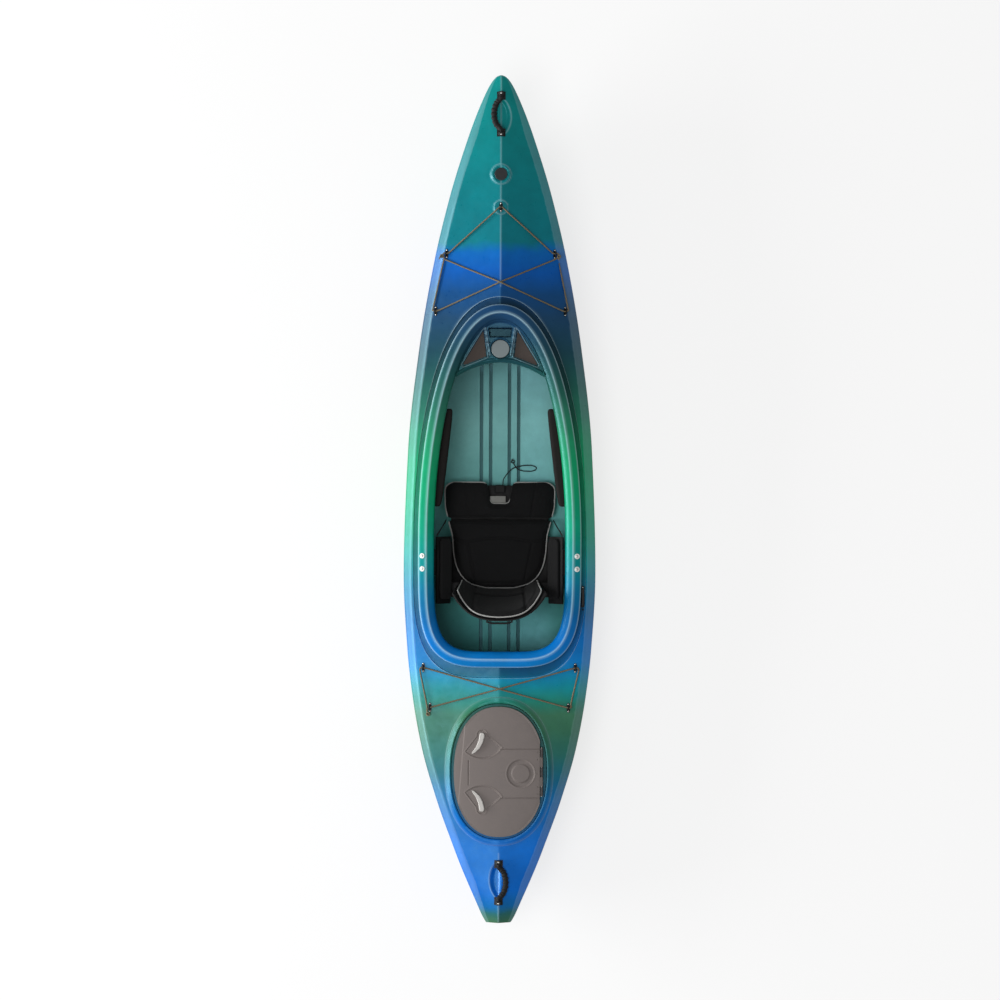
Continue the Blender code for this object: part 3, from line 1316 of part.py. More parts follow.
def make_hip_pad(name, side, material):
    """Foam on the sloping face of the side plate."""
    knee, head = plate_profile()[1:]
    down = (head - knee).normalized()
    face = Vector((-down.y, down.x))
    start, end = knee + down * 0.004, head - down * 0.014
    section = [start + face * FIT * 2, end + face * FIT * 2, end + face * HIP_PAD_THICK * 0.6 - down * 0.004,
               (start + end) / 2 + face * HIP_PAD_THICK, start + face * HIP_PAD_THICK * 0.7 + down * 0.004]
    loops = []
    for y, shrink in ((PLATE_FRONT - 0.008, 0.85), (PLATE_FRONT - 0.020, 1.0), (PLATE_BACK + 0.030, 1.0),
                      (PLATE_BACK + 0.018, 0.85)):
        middle = (start + end) / 2 + face * FIT * 2
        loops.append([(side * (middle.x + (p.x - middle.x) * shrink), y, middle.y + (p.y - middle.y) * shrink)
                      for p in section])
    return loft(name, loops, material)


def make_seat_screw(name, side, y, material):
    """A screw down through the rim, with a broad washer under its head."""
    x = side * (rim_edge_x(y) + SCREW_X)
    top = rim_height(y) - SPOT_DROP + FIT
    screw = rod(name, (x, y, top - 0.030), (x, y, top + 0.001), SCREW_RADIUS, 8, material)
    join(screw, rod("washer", (x, y, top), (x, y, top + 0.0016), WASHER_RADIUS, 14))
    join(screw, rod("head", (x, y, top + 0.001), (x, y, top + 0.004), 0.0050, 8, end_radius=0.0036))
    return shade(screw)


def make_back_strap(name, side, material):
    """Webbing from the side plate's edge forward and down to the seat pan."""
    head = plate_profile()[2]
    start = Vector((side * head.x, PLATE_FRONT + 0.0049, head.y - 0.006))
    end = Vector((side * (seat_half_width(-0.075) + 0.004), -0.078, SEAT_PAN_Z + 0.004))
    wide = Vector((0, 0.0045, 0.0035))
    thin = Vector((side * 0.0008, 0, 0.0004))
    loops = []
    for share in (0.0, 0.33, 0.66, 1.0):
        middle = start.lerp(end, share)
        loops.append([middle - wide - thin, middle - wide + thin, middle + wide + thin, middle + wide - thin])
    return loft(name, loops, material)


def make_buckle(material):
    """The webbing adjuster in the notch at the front of the seat."""
    low = SEAT_PAN_Z + SEAT_PAN_THICK + FIT * 2 + LIFTER_THICK
    back, front = BUCKLE_FRONT - BUCKLE_LENGTH, BUCKLE_FRONT
    body = box("seat_buckle", (-0.020, back, low), (0.020, front, low + 0.012), material)
    bevelled(body, 0.003)
    join(body, box("webbing", (-0.0125, back - 0.032, low), (0.0125, back + 0.004, low + 0.004)))
    return set_origin(body, lifter_pivot())


def make_pull_cord(material):
    """The seat's adjuster cord: out of the buckle and lying in a loop on the hull's floor."""
    low = SEAT_PAN_Z + SEAT_PAN_THICK + FIT * 2 + LIFTER_THICK
    exit_z = low + 0.006
    floor = floor_height(0.12, 0.11) + 0.0044
    route = [(0.012, BUCKLE_FRONT + FIT, exit_z), (0.012, 0.068, exit_z), (0.014, 0.080, exit_z - 0.006),
             (0.022, 0.093, floor + 0.028), (0.034, 0.108, floor + 0.010), (0.050, 0.122, floor + 0.001),
             (0.072, 0.130, floor), (0.100, 0.134, floor + 0.001), (0.126, 0.133, floor + 0.0025),
             (0.140, 0.125, floor + 0.004), (0.134, 0.115, floor + 0.0035), (0.112, 0.111, floor + 0.002),
             (0.088, 0.113, floor + 0.0008), (0.070, 0.119, floor + 0.0042), (0.058, 0.131, floor + 0.0048),
             (0.050, 0.146, floor + 0.0005)]
    return round_bar("seat_pull_cord", curve(route, 2), 0.002, material, 2)


def make_thigh_pad(name, side, material):
    """Foam under the rim beside the thigh, following the opening's edge."""
    loops = []
    for y in np.linspace(THIGH_FRONT, THIGH_BACK, 7):
        edge, top = rim_edge_x(y), rim_height(y)
        share = (y - THIGH_BACK) / (THIGH_FRONT - THIGH_BACK)
        ease = 0.55 + 0.45 * max(0.0, math.sin(math.pi * share)) ** 0.5
        depth = THIGH_DEPTH * ease
        section = ((0.004, THIGH_HIGH), (-depth * 0.8, THIGH_HIGH), (-depth, THIGH_HIGH + 0.012),
                   (-depth * 0.9, THIGH_LOW), (0.004, THIGH_LOW))
        loops.append([(side * (edge + out), y, top - drop) for out, drop in section])
    return loft(name, loops, material)


# Foot braces

def rail_ends(side):
    """Two points on the rail's outer face, where its feet meet the hull's wall."""
    low = RAIL_Z - RAIL_HEIGHT / 2
    return [Vector((side * (hull_side(y, low, WALL) - 0.0036), y, RAIL_Z)) for y in (RAIL_BACK, RAIL_FRONT)]


def rail_axes(side):
    """The rail's run towards the bow, and the way from it to the middle of the hull."""
    back, front = rail_ends(side)
    run = (front - back).normalized()
    return run, Vector((-run.y * side, run.x * side, 0)).normalized()


def make_foot_rail(name, side, material):
    """A straight track with a foot at each end against the hull's wall."""
    back, front = rail_ends(side)
    inward = rail_axes(side)[1]
    half = RAIL_HEIGHT / 2
    section = ((0.0, -half), (RAIL_THICK, -half), (RAIL_THICK, half), (0.0, half))
    loops = []
    for end in (back, front):
        loops.append([end + inward * out + Vector((0, 0, up)) for out, up in section])
    return loft(name, loops, material)


def make_foot_pedal(name, side, material):
    """A foot plate on a shoe that slides along the rail."""
    back, front = rail_ends(side)
    run, inward = rail_axes(side)
    share = (PEDAL_Y - back.y) / (front.y - back.y)
    seat = back.lerp(front, share) + inward * (RAIL_THICK + FIT)
    half = RAIL_HEIGHT / 2

    def slab(label, start, end, low, high, out_low, out_high):
        loops = []
        for reach in (start, end):
            middle = seat + run * reach
            loops.append([middle + inward * out + Vector((0, 0, up)) for out, up in
                          ((out_low, low), (out_high, low), (out_high, high), (out_low, high))])
        return loft(label, loops, material)

    pedal = slab(name, -0.030, 0.030, -half, half, 0.0, 0.008)
    join(pedal, slab("plate", 0.010, 0.018, -PEDAL_HEIGHT * 0.3, PEDAL_HEIGHT * 0.7, 0.005, PEDAL_WIDTH))
    return pedal


# Skeg

def keel_slope():
    return (keel(SKEG_PIVOT_Y - SKEG_LENGTH) - keel(SKEG_PIVOT_Y)) / SKEG_LENGTH


def skeg_block(name, grow, low, top):
    """The skeg box's outer block, or the opening for it."""
    half = SKEG_SLOT / 2 + SKEG_BOX_WALL + grow
    back, front = SKEG_PIVOT_Y - SKEG_LENGTH - 0.022 - grow, SKEG_PIVOT_Y + 0.028 + grow
    return box(name, (-half, back, low), (half, front, top))


def make_skeg_box(material):
    """The narrow case that the blade folds up into, open at the keel."""
    case = skeg_block("skeg_box", -FIT, 0.0, SKEG_BOX_TOP)
    case.data.materials.append(material)
    back, front = SKEG_PIVOT_Y - SKEG_LENGTH - 0.035, SKEG_PIVOT_Y + 0.035
    under = prism("under", [(-0.05, back), (0.05, back), (0.05, front), (-0.05, front)], -0.05,
                  lambda x, y: keel(y) + 0.0008)
    cut(case, under)
    half = SKEG_SLOT / 2
    back, front = SKEG_PIVOT_Y - SKEG_LENGTH - 0.016, SKEG_PIVOT_Y + 0.022
    cut(case, box("slot", (-half, back, -0.02), (half, front, SKEG_BOX_TOP - SKEG_BOX_WALL)))
    cut(case, rod("pin_hole", (-0.05, SKEG_PIVOT_Y, SKEG_PIVOT_Z), (0.05, SKEG_PIVOT_Y, SKEG_PIVOT_Z),
                  SKEG_PIN_RADIUS + FIT, 14))
    return case


def make_skeg_blade(material):
    """A swept fin, stowed in its case."""
    lean = math.atan(keel_slope()) * 0.9
    shape = ((0.012, -0.012), (0.014, 0.012), (-0.02, 0.040), (-0.09, 0.078), (-0.15, 0.084),
             (-0.180, 0.066), (-0.190, 0.030), (-0.185, 0.000), (-0.10, -0.012))
    half = SKEG_THICK / 2
    loops = []
    for x in (-half, half):
        loops.append([(x, SKEG_PIVOT_Y + a * math.cos(lean) - b * math.sin(lean) * 0,
                       SKEG_PIVOT_Z + b + -a * math.sin(lean)) for a, b in shape])
    blade = loft("skeg_blade", loops, material)
    cut(blade, rod("pin_hole", (-0.02, SKEG_PIVOT_Y, SKEG_PIVOT_Z), (0.02, SKEG_PIVOT_Y, SKEG_PIVOT_Z),
                   SKEG_PIN_RADIUS + FIT, 14))
    return set_origin(blade, (0, SKEG_PIVOT_Y, SKEG_PIVOT_Z))


def make_skeg_pin(material):
    half = SKEG_SLOT / 2 + SKEG_BOX_WALL - FIT
    return shade(rod("skeg_pin", (-half, SKEG_PIVOT_Y, SKEG_PIVOT_Z), (half, SKEG_PIVOT_Y, SKEG_PIVOT_Z),
                     SKEG_PIN_RADIUS, 14, material))


def cleat_place():
    y = CLEAT_Y - CLEAT_LENGTH / 2 - 0.012
    return rim_edge_x(CLEAT_Y) + RIM_WIDTH + 0.0088, y


def line_at_bulkhead():
    return 0.245, 0.205


def make_skeg_line(material):
    """The control line from the cleat down through the deck and along inside the hull to the skeg's case."""
    x, y = cleat_place()
    top = deck_height(x, y) - GROOVE_DEPTH
    bulk_x, bulk_z = line_at_bulkhead()
    end_y = SKEG_PIVOT_Y - SKEG_LENGTH * 0.75
    route = [(x, y + 0.004, top + 0.012), (x, y, top + 0.006), (x, y - 0.001, top - 0.010),
             (x - 0.004, y - 0.006, top - 0.028), (x - 0.014, y - 0.040, top - 0.036),
             (bulk_x + 0.02, -0.58, bulk_z + 0.004), (bulk_x, BULKHEAD_Y + 0.03, bulk_z),
             (bulk_x, BULKHEAD_Y, bulk_z), (bulk_x, BULKHEAD_Y - 0.03, bulk_z),
             (0.225, -0.86, 0.200), (0.195, -1.03, 0.200), (0.120, -1.18, 0.200), (0.045, -1.27, 0.194),
             (0.008, end_y + 0.012, 0.180), (0.0, end_y, 0.165), (0.0, end_y, SKEG_BOX_TOP + 0.0006)]
    return round_bar("skeg_line", curve(route, 2), LINE_DIAMETER / 2, material, 1)


def make_cleat(material):
    """A jam cleat: a long base with a horn at each end and two screws."""
    x = cleat_place()[0]
    half_l, half_w = CLEAT_LENGTH / 2, CLEAT_WIDTH / 2
    outline = [(x - half_w, CLEAT_Y - half_l), (x, CLEAT_Y - half_l - 0.004), (x + half_w, CLEAT_Y - half_l),
               (x + half_w, CLEAT_Y + half_l), (x, CLEAT_Y + half_l + 0.004), (x - half_w, CLEAT_Y + half_l)]

    def floor(px, py):
        return deck_height(px, py) - GROOVE_DEPTH + FIT

    base = prism("skeg_cleat", outline, floor, lambda px, py: floor(px, py) + 0.005, material)
    top = floor(x, CLEAT_Y) + 0.004
    for width, reach, low, high in ((0.005, 0.020, 0.0, 0.010), (0.0045, 0.034, 0.007, 0.013)):
        bar = box("bar", (x - width, CLEAT_Y - reach, top + low), (x + width, CLEAT_Y + reach, top + high))
        join(base, bevelled(bar, 0.002))
    return base


def make_dash_puck(material):
    low = dash_top(0, DASH_PUCK_Y) - DASH_POCKET_DEPTH + FIT
    disc = rod("dash_puck", (0, DASH_PUCK_Y, low), (0, DASH_PUCK_Y, low + DASH_PUCK_HEIGHT),
               DASH_PUCK_RADIUS, 24, material)
    bevelled(disc, 0.0015)
    return shade(disc)


def make_tray_pad(name, side, material):
    middle = np.mean(np.array(DASH_POCKET), axis=0)
    outline = [tuple(middle + (np.array(p) - middle) * 0.93) for p in DASH_POCKET]
    return prism(name, [(side * x, y) for x, y in outline],
                 lambda x, y: dash_top(x, y) - DASH_POCKET_DEPTH + FIT,
                 lambda x, y: dash_top(x, y) - DASH_POCKET_DEPTH + FIT + 0.003, material)


def main():
    clear_scene()
    hull_plastic = plastic("hull_plastic", (0.0, 0.22, 0.36), 0.38)
    black = plastic("black_nylon", (0.012, 0.012, 0.013), 0.5)
    cord_grey = plastic("shock_cord", (0.13, 0.115, 0.085), 0.85)
    lid_grey = plastic("hatch_plastic", (0.145, 0.128, 0.12), 0.55)
    pale = plastic("latch_plastic", (0.43, 0.41, 0.39), 0.45)
    rubber = plastic("soft_rubber", (0.02, 0.02, 0.02), 0.8)
    foam = plastic("foam", (0.03, 0.03, 0.03), 0.95)
    fabric = plastic("seat_fabric", (0.008, 0.008, 0.009), 0.95)
    webbing = plastic("webbing", (0.012, 0.012, 0.012), 0.9)
    steel = plastic("stainless_steel", (0.6, 0.6, 0.58), 0.3, 1.0)
    pad_brown = plastic("tray_pad", (0.09, 0.075, 0.07), 0.9)
    badge = plastic("roundel_plastic", (0.02, 0.02, 0.02), 0.35)

    make_hull(hull_plastic)
    make_bulkhead(foam)
    make_bow_foam(foam)
    make_handle("bow", BOW_HANDLE_Y, -1, black)
    make_handle("stern", STERN_HANDLE_Y, 1, black)
    make_roundel(badge)
    make_eyes(black)
    make_bow_bungee(cord_grey)
    make_stern_bungee(cord_grey)
    make_hatch_rim(lid_grey)
    make_gasket(rubber)
    make_hatch_cover(lid_grey)
    make_hinge_rod(steel)
    make_latch("hatch_latch_fore", 1, pale)
    make_latch("hatch_latch_aft", -1, pale)
    make_seat_pan(black)
    make_seat_cushion(fabric)
    make_front_cushion(fabric)
    make_leg_lifter(black)
    make_back_frame(black)
    make_back_pad(fabric)
    make_buckle(black)
    make_pull_cord(webbing)
    make_skeg_box(black)
    make_skeg_blade(black)
    make_skeg_pin(steel)
    make_skeg_line(webbing)
    make_cleat(black)
    make_dash_puck(lid_grey)
    for side, word in ((-1, "port"), (1, "starboard")):
        make_side_plate("seat_side_plate_" + word, side, black)
        make_hip_pad("hip_pad_" + word, side, foam)
        make_back_strap("seat_strap_" + word, side, webbing)
        make_thigh_pad("thigh_pad_" + word, side, foam)
        make_foot_rail("foot_rail_" + word, side, black)
        make_foot_pedal("foot_pedal_" + word, side, black)
        make_tray_pad("tray_pad_" + word, side, pad_brown)
        for label, y in zip(("fore", "aft"), SCREW_PLACES):
            make_seat_screw("seat_screw_" + label + "_" + word, side, y, steel)
    bpy.context.view_layer.update()


main()
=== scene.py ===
import math

import bmesh
import bpy
import numpy as np
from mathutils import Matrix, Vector


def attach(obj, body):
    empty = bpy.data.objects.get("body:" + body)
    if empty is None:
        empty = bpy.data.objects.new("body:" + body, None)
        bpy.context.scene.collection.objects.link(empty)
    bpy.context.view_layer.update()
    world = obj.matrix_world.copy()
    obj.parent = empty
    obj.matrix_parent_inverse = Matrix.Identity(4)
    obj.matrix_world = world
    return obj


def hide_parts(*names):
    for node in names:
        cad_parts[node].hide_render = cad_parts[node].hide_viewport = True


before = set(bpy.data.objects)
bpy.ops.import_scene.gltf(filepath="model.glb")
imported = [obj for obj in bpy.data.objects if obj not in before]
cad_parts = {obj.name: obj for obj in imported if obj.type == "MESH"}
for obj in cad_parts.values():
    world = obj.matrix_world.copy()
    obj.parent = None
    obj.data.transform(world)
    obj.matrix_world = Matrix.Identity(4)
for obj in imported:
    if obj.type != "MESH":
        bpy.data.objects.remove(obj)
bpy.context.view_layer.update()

# Camera
# The photograph looks straight down from high above, bow at the top, with the hull turned
# a fifth of a degree clockwise. At deck height one pixel of the 1000 is 3.778 mm.
PIXEL = 0.003778
DECK_LEVEL = 0.30
CAMERA_HEIGHT = 12.0
CAMERA_TURN = 0.2065
scene = bpy.context.scene


def in_scene(name, data):
    """A new object of that data, put in the scene."""
    made = bpy.data.objects.new(name, data)
    scene.collection.objects.link(made)
    return made


lens = bpy.data.cameras.new("camera")
lens.sensor_width = 36.0
lens.lens = lens.sensor_width * CAMERA_HEIGHT / (1000 * PIXEL)
lens.clip_end = 100.0
camera = in_scene("camera", lens)
camera.location = (0.0006, 0.0, DECK_LEVEL + CAMERA_HEIGHT)
camera.rotation_euler = (0.0, 0.0, math.radians(CAMERA_TURN))
scene.camera = camera
scene.view_settings.view_transform = "Standard"

# Floor and light
# A white studio floor that keeps the shadow, one long soft lamp low on the port side, a weaker one high
# above it and an even sky.
FLOOR_REACH, FLOOR_GLOW, SKY_STRENGTH = 60, 0.75, 0.34


def set_all(made, values):
    """Sets a node's inputs by name where they begin with a capital, and its own properties where not."""
    for name, value in values.items():
        if name[0].isupper():
            made.inputs[name.replace("_", " ")].default_value = value
        else:
            setattr(made, name, value)
    return made


def surface_of(name, **values):
    """A new material, its tree and its Principled shader, with the shader's inputs set by name."""
    made = bpy.data.materials.new(name)
    made.use_nodes = True
    return made, made.node_tree, set_all(made.node_tree.nodes["Principled BSDF"], values)


def node(tree, kind, **values):
    """A new shader node of that kind."""
    return set_all(tree.nodes.new("ShaderNode" + kind), values)


def ranged(tree, from_min, from_max, to_min=0.0, to_max=1.0):
    """A node that maps one range of numbers to another."""
    return node(tree, "MapRange", From_Min=from_min, From_Max=from_max, To_Min=to_min, To_Max=to_max)


def sum_with(tree, operation, value):
    """A node that does a sum with a fixed second number."""
    made = node(tree, "Math", operation=operation)
    made.inputs[1].default_value = value
    return made


def wire(tree, *links):
    """Joins nodes: each four of the links are a node, its output, another node and its input."""
    for source, output, target, socket in zip(*[iter(links)] * 4):
        tree.links.new(source.outputs[output], target.inputs[socket])


def soft_lamp(name, place, aim, width, height, power):
    """An oblong area lamp at a place, turned to face its aim."""
    lamp = bpy.data.lights.new(name, "AREA")
    lamp.energy, lamp.shape, lamp.size, lamp.size_y = power, "RECTANGLE", width, height
    holder = in_scene(name, lamp)
    holder.location = place
    holder.rotation_euler = (Vector(aim) - Vector(place)).to_track_quat("-Z", "Y").to_euler()


floor_mesh = bpy.data.meshes.new("studio_floor")
corners = ((-1, -1), (1, -1), (1, 1), (-1, 1))
floor_mesh.from_pydata([(x * FLOOR_REACH, y * FLOOR_REACH, 0) for x, y in corners], [], [(0, 1, 2, 3)])
floor = in_scene("studio_floor", floor_mesh)
white, tree, shader = surface_of("studio_white", Base_Color=(0.95, 0.95, 0.95, 1.0), Roughness=0.9)
seen, share = node(tree, "LightPath"), sum_with(tree, "MULTIPLY", FLOOR_GLOW)
glow, blended = node(tree, "Emission"), node(tree, "MixShader")
wire(tree, seen, "Is Camera Ray", share, 0, share, 0, blended, 0, shader, 0, blended, 1,
     glow, 0, blended, 2, blended, 0, tree.nodes["Material Output"], 0)
floor_mesh.materials.append(white)
soft_lamp("port_lamp", (-8.0, -0.4, 2.1), (0.0, 0.0, 0.2), 7.0, 2.8, 850)
soft_lamp("overhead_lamp", (-2.8, -1.5, 10.2), (0.0, 0.0, 0.2), 5.0, 5.0, 430)
world = bpy.data.worlds.new("sky")
world.use_nodes = True
set_all(world.node_tree.nodes["Background"], {"Color": (1.0, 1.0, 1.0, 1.0), "Strength": SKY_STRENGTH})
scene.world = world

# Hull shell
# One rotomoulded polyethylene skin, 5 mm thick and closed inside and out: round bottom with four
# keel strakes, faceted deck, rolled cockpit rim with its dash, and the level seats of the fittings.
LENGTH, BEAM, WALL, KEEL_Z = 3.20, 0.73, 0.005, 0.008
SHEER_LOW, SHEER_BOW, SHEER_STERN, SHEER_PLACE = 0.217, 0.335, 0.262, 0.45
HALF_BEAM_SHAPE = ((0, 0.13), (0.028, 0.25), (0.0875, 0.468), (0.1465, 0.655), (0.205, 0.803),
                   (0.264, 0.899), (0.323, 0.959), (0.4125, 1.0), (0.559, 0.959), (0.678, 0.847),
                   (0.784, 0.688), (0.855, 0.54), (0.925, 0.351), (0.972, 0.192), (1, 0.012))
KEEL_RISE = ((0, 0.097), (0.03, 0.047), (0.09, 0.016), (0.19, 0.004), (0.34, 0), (0.64, 0),
             (0.78, 0.006), (0.875, 0.022), (0.9375, 0.067), (0.97, 0.125), (0.99, 0.2), (1, 0.27))
RIDGE_HEIGHT = ((0, 0.290), (0.1, 0.284), (0.3, 0.284), (0.45, 0.295), (0.6, 0.325),
                (0.735, 0.372), (0.8, 0.366), (0.9, 0.356), (1, 0.347))
FULLNESS = ((0, 1.5), (0.12, 1.9), (0.31, 2.6), (0.6, 2.7), (0.78, 2.1), (0.9, 1.45), (1, 1.2))
RIM_HEIGHT = ((-0.65, 0.309), (-0.3, 0.304), (0.0, 0.312), (0.3, 0.335), (0.55, 0.368), (0.75, 0.398))
DECK_EDGE_WIDTH, DECK_EDGE_RISE, SHEER_ROUND = 0.034, 0.030, 0.0085
STRAKES, STRAKE_HALF, STRAKE_FRONT, STRAKE_BACK, STRAKE_RAMP = (0.036, 0.072), 0.0055, 0.50, -0.57, 0.05
SKEG_SLOT_HALF, SKEG_SLOT_BACK, SKEG_SLOT_FRONT = 0.0094, -1.3924, -1.1516
COCKPIT = dict(half=0.2486, middle=-0.16, front=0.835, back=0.414, front_power=2.05, back_power=4.7)
RIM_WIDTH, RIM_WALL = 0.060, 0.006
GROOVE_SIDE, GROOVE_FRONT, GROOVE_BACK = 0.019, 0.029, 0.041
HATCH_Y, HATCH_HALF_WIDTH, HATCH_HALF_LENGTH, HATCH_SEAT_Z = -1.027, 0.170, 0.2455, 0.2865
HATCH = dict(half=HATCH_HALF_WIDTH, middle=HATCH_Y, front=HATCH_HALF_LENGTH, back=HATCH_HALF_LENGTH,
             front_power=2.25, back_power=2.25)
BOW_EYE_Y, ROUNDEL_Y, ROUNDEL_RADIUS, ROUNDEL_DEPTH = 1.101, 1.226, 0.0235, 0.0032
SEAT_DROP, SEAT_EDGE = 0.002, 0.009
ROUND_SEATS = ((ROUNDEL_Y, 0.037), (BOW_EYE_Y, 0.026))
# The finger scoops: place along the hull, side, half length, and reach on that side and the other.
SCOOPS = ((1.4415, 1, 0.0715, 0.038, 0.012), (-1.4375, -1, 0.0725, 0.036, 0.012))
SCOOP_DEPTH, SCOOP_WALL = 0.012, 0.020
# The stretches of the hull that need fine rows: middle and half length.
FINE_STRETCHES = (*((scoop[0], 0.085) for scoop in SCOOPS), (ROUNDEL_Y, 0.045), (BOW_EYE_Y, 0.032),
                  (LENGTH / 2, 0.05), (-LENGTH / 2, 0.03))
FINE_STEP, PLAIN_STEP = 0.0038, 0.0105


def smooth_through(table):
    """A cubic through (place, value) pairs whose slopes never let it overshoot between them."""
    place, value = np.array(table, float).T
    step = np.diff(place)
    slope = np.diff(value) / step
    before, after = 2 * step[1:] + step[:-1], step[1:] + 2 * step[:-1]
    steady = slope[:-1] * slope[1:] > 0
    safe = np.where(slope == 0, 1.0, slope)
    tangent = np.r_[slope[0], np.where(steady, (before + after) / (before / safe[:-1] + after / safe[1:]),
                                       0.0), slope[-1]]

    def at(position):
        position = np.clip(position, place[0], place[-1])
        i = np.clip(np.searchsorted(place, position, side="right") - 1, 0, len(step) - 1)
        t = (position - place[i]) / step[i]
        return ((2 * t**3 - 3 * t**2 + 1) * value[i] + (t**3 - 2 * t**2 + t) * step[i] * tangent[i]
                + (3 * t**2 - 2 * t**3) * value[i + 1] + (t**3 - t**2) * step[i] * tangent[i + 1])

    return at


def smoothstep(value):
    """0 below 0, 1 above 1, and an even rise between."""
    value = np.clip(value, 0.0, 1.0)
    return value * value * (3 - 2 * value)


beam_squared = smooth_through([(place, share * share) for place, share in HALF_BEAM_SHAPE])
keel_rise, fullness, rim_height = map(smooth_through, (KEEL_RISE, FULLNESS, RIM_HEIGHT))
ridge_height = smooth_through(RIDGE_HEIGHT)


def eased(count):
    """Values from -1 to 1, closer together towards both ends."""
    return np.sin(np.linspace(-math.pi / 2, math.pi / 2, count))


def along(y):
    """The share of the hull's length from the stern."""
    return np.clip(np.asarray(y, float) / LENGTH + 0.5, 0.0, 1.0)


def half_beam(y):
    return BEAM / 2 * np.sqrt(beam_squared(along(y)))


def sheer(y):
    """Height of the widest line: a power of the distance from its lowest place."""
    place = along(y)
    fore = np.clip((place - SHEER_PLACE) / (1 - SHEER_PLACE), 0, 1) ** 2.2
    aft = np.clip((SHEER_PLACE - place) / SHEER_PLACE, 0, 1) ** 1.6
    return SHEER_LOW + (SHEER_BOW - SHEER_LOW) * fore + (SHEER_STERN - SHEER_LOW) * aft


def ridge(y):
    return ridge_height(along(y))


def deck_edge(y):
    """Distance from the middle and height of the crease between the deck and its steep edge band."""
    beam = half_beam(y)
    rise = DECK_EDGE_RISE * np.minimum(1.0, beam / 0.2)
    return beam - np.minimum(DECK_EDGE_WIDTH, 0.28 * beam), np.minimum(sheer(y) + rise, ridge(y) - 0.002)


def plain_deck(x, y):
    """Deck height: two facets that meet at the ridge and two edge bands, their creases rounded by the
    square root of the squared distance plus a small radius squared."""
    edge_x, edge_z = deck_edge(y)
    radius = np.minimum(0.005, 0.1 * edge_x)
    across = np.sqrt(x * x + radius**2) - radius
    facet = edge_z + (ridge(y) - edge_z) * (1 - across / edge_x)
    band = edge_z + (sheer(y) - edge_z) * (across - edge_x) / np.maximum(half_beam(y) - edge_x, 1e-4)
    return (facet + band) / 2 - np.sqrt((facet - band) ** 2 + 0.0025**2) / 2


def scoop_lens(y, middle, half):
    """The plan of a finger scoop: its reach at a place along the hull, 1 at the middle and 0 at the ends."""
    return np.sqrt(np.clip(1 - ((y - middle) / half) ** 2, 0, 1)) ** 1.3


def deck_with_details(x, y):
    """The deck with the level round seats of the roundel and the front pad eye raised across the ridge,
    and the finger scoops beside the handles: a lens in plan, deepest under the grip."""
    z = plain_deck(x, y)
    for middle, radius in ROUND_SEATS:
        away = np.hypot(x, y - middle)
        z = z + (ridge(middle) - SEAT_DROP - z) * smoothstep((radius + SEAT_EDGE / 2 - away) / SEAT_EDGE)
    away = np.hypot(x, y - ROUNDEL_Y)
    z = z - ROUNDEL_DEPTH * smoothstep((ROUNDEL_RADIUS + 0.0052 - away) / 0.0048)
    for middle, side, half, outer, inner in SCOOPS:
        lens = scoop_lens(y, middle, half)
        reach = np.where(x * side > 0, outer, inner) * lens + 1e-6
        inside = np.clip(1 - np.abs(x) / reach, 0, 1)
        z = z - SCOOP_DEPTH * smoothstep(inside * reach / SCOOP_WALL) * smoothstep(lens * 2.2)
    return z


def inner_deck(x, y):
    """The deck's inner face, kept clear under the finger scoops."""
    z = plain_deck(x, y)
    for middle, *_ in SCOOPS:
        z = z - 0.016 * (smoothstep((0.10 - np.abs(y - middle)) / 0.02)
                         * smoothstep((deck_edge(y)[0] - 0.6 * WALL - np.abs(x)) / 0.012))
    return z


def run_along(points):
    """The distance along a course at each of its points."""
    return np.r_[0, np.cumsum(np.linalg.norm(np.diff(points, axis=0), axis=1))]


def oval_points(shape, count):
    """Dense points and outward normals round an oval whose front and back halves have their own reach
    and power: x and y are the half width and reach times sine and cosine to the power 2 / n."""
    turn = np.linspace(0, 2 * math.pi, count, endpoint=False)
    ahead = np.cos(turn) >= 0
    reach = np.where(ahead, shape["front"], shape["back"])
    power = 2 / np.where(ahead, shape["front_power"], shape["back_power"])
    x = shape["half"] * np.sign(np.sin(turn)) * np.abs(np.sin(turn)) ** power
    y = shape["middle"] + reach * np.sign(np.cos(turn)) * np.abs(np.cos(turn)) ** power
    points = np.stack([x, y], axis=1)
    closed = np.vstack([points, points[:1]])
    run = run_along(closed)
    wanted = np.linspace(0, run[-1], count, endpoint=False)
    points = np.stack([np.interp(wanted, run, closed[:, k]) for k in (0, 1)], axis=1)
    tangent = np.roll(points, -2, axis=0) - np.roll(points, 2, axis=0)
    normal = np.stack([-tangent[:, 1], tangent[:, 0]], axis=1)
    return points, normal / np.linalg.norm(normal, axis=1)[:, None]


def station_run(low, high):
    """Places along the hull between two, closer together across the small mouldings."""
    dense = np.linspace(low, high, 4000)
    near = np.zeros(len(dense), bool)
    for middle, half in FINE_STRETCHES:
        near |= np.abs(dense - middle) < half
    density = 1 / np.where(near, FINE_STEP, PLAIN_STEP)
    run = np.r_[0, np.cumsum((density[1:] + density[:-1]) / 2 * np.diff(dense))]
    return np.interp(np.linspace(0, run[-1], max(2, int(round(run[-1])) + 1)), run, dense)


def grid_faces(rows, columns, start, closed=False, flip=False):
    """Quads over a grid of points stored row by row from start; closed joins the last column to the first."""
    row, column = np.meshgrid(np.arange(rows - 1), np.arange(columns if closed else columns - 1),
                              indexing="ij")
    after = (column + 1) % columns
    corners = [row * columns + column, row * columns + after, (row + 1) * columns + after,
               (row + 1) * columns + column]
    quads = np.stack([c.ravel() for c in corners], axis=1) + start
    return quads[:, ::-1] if flip else quads


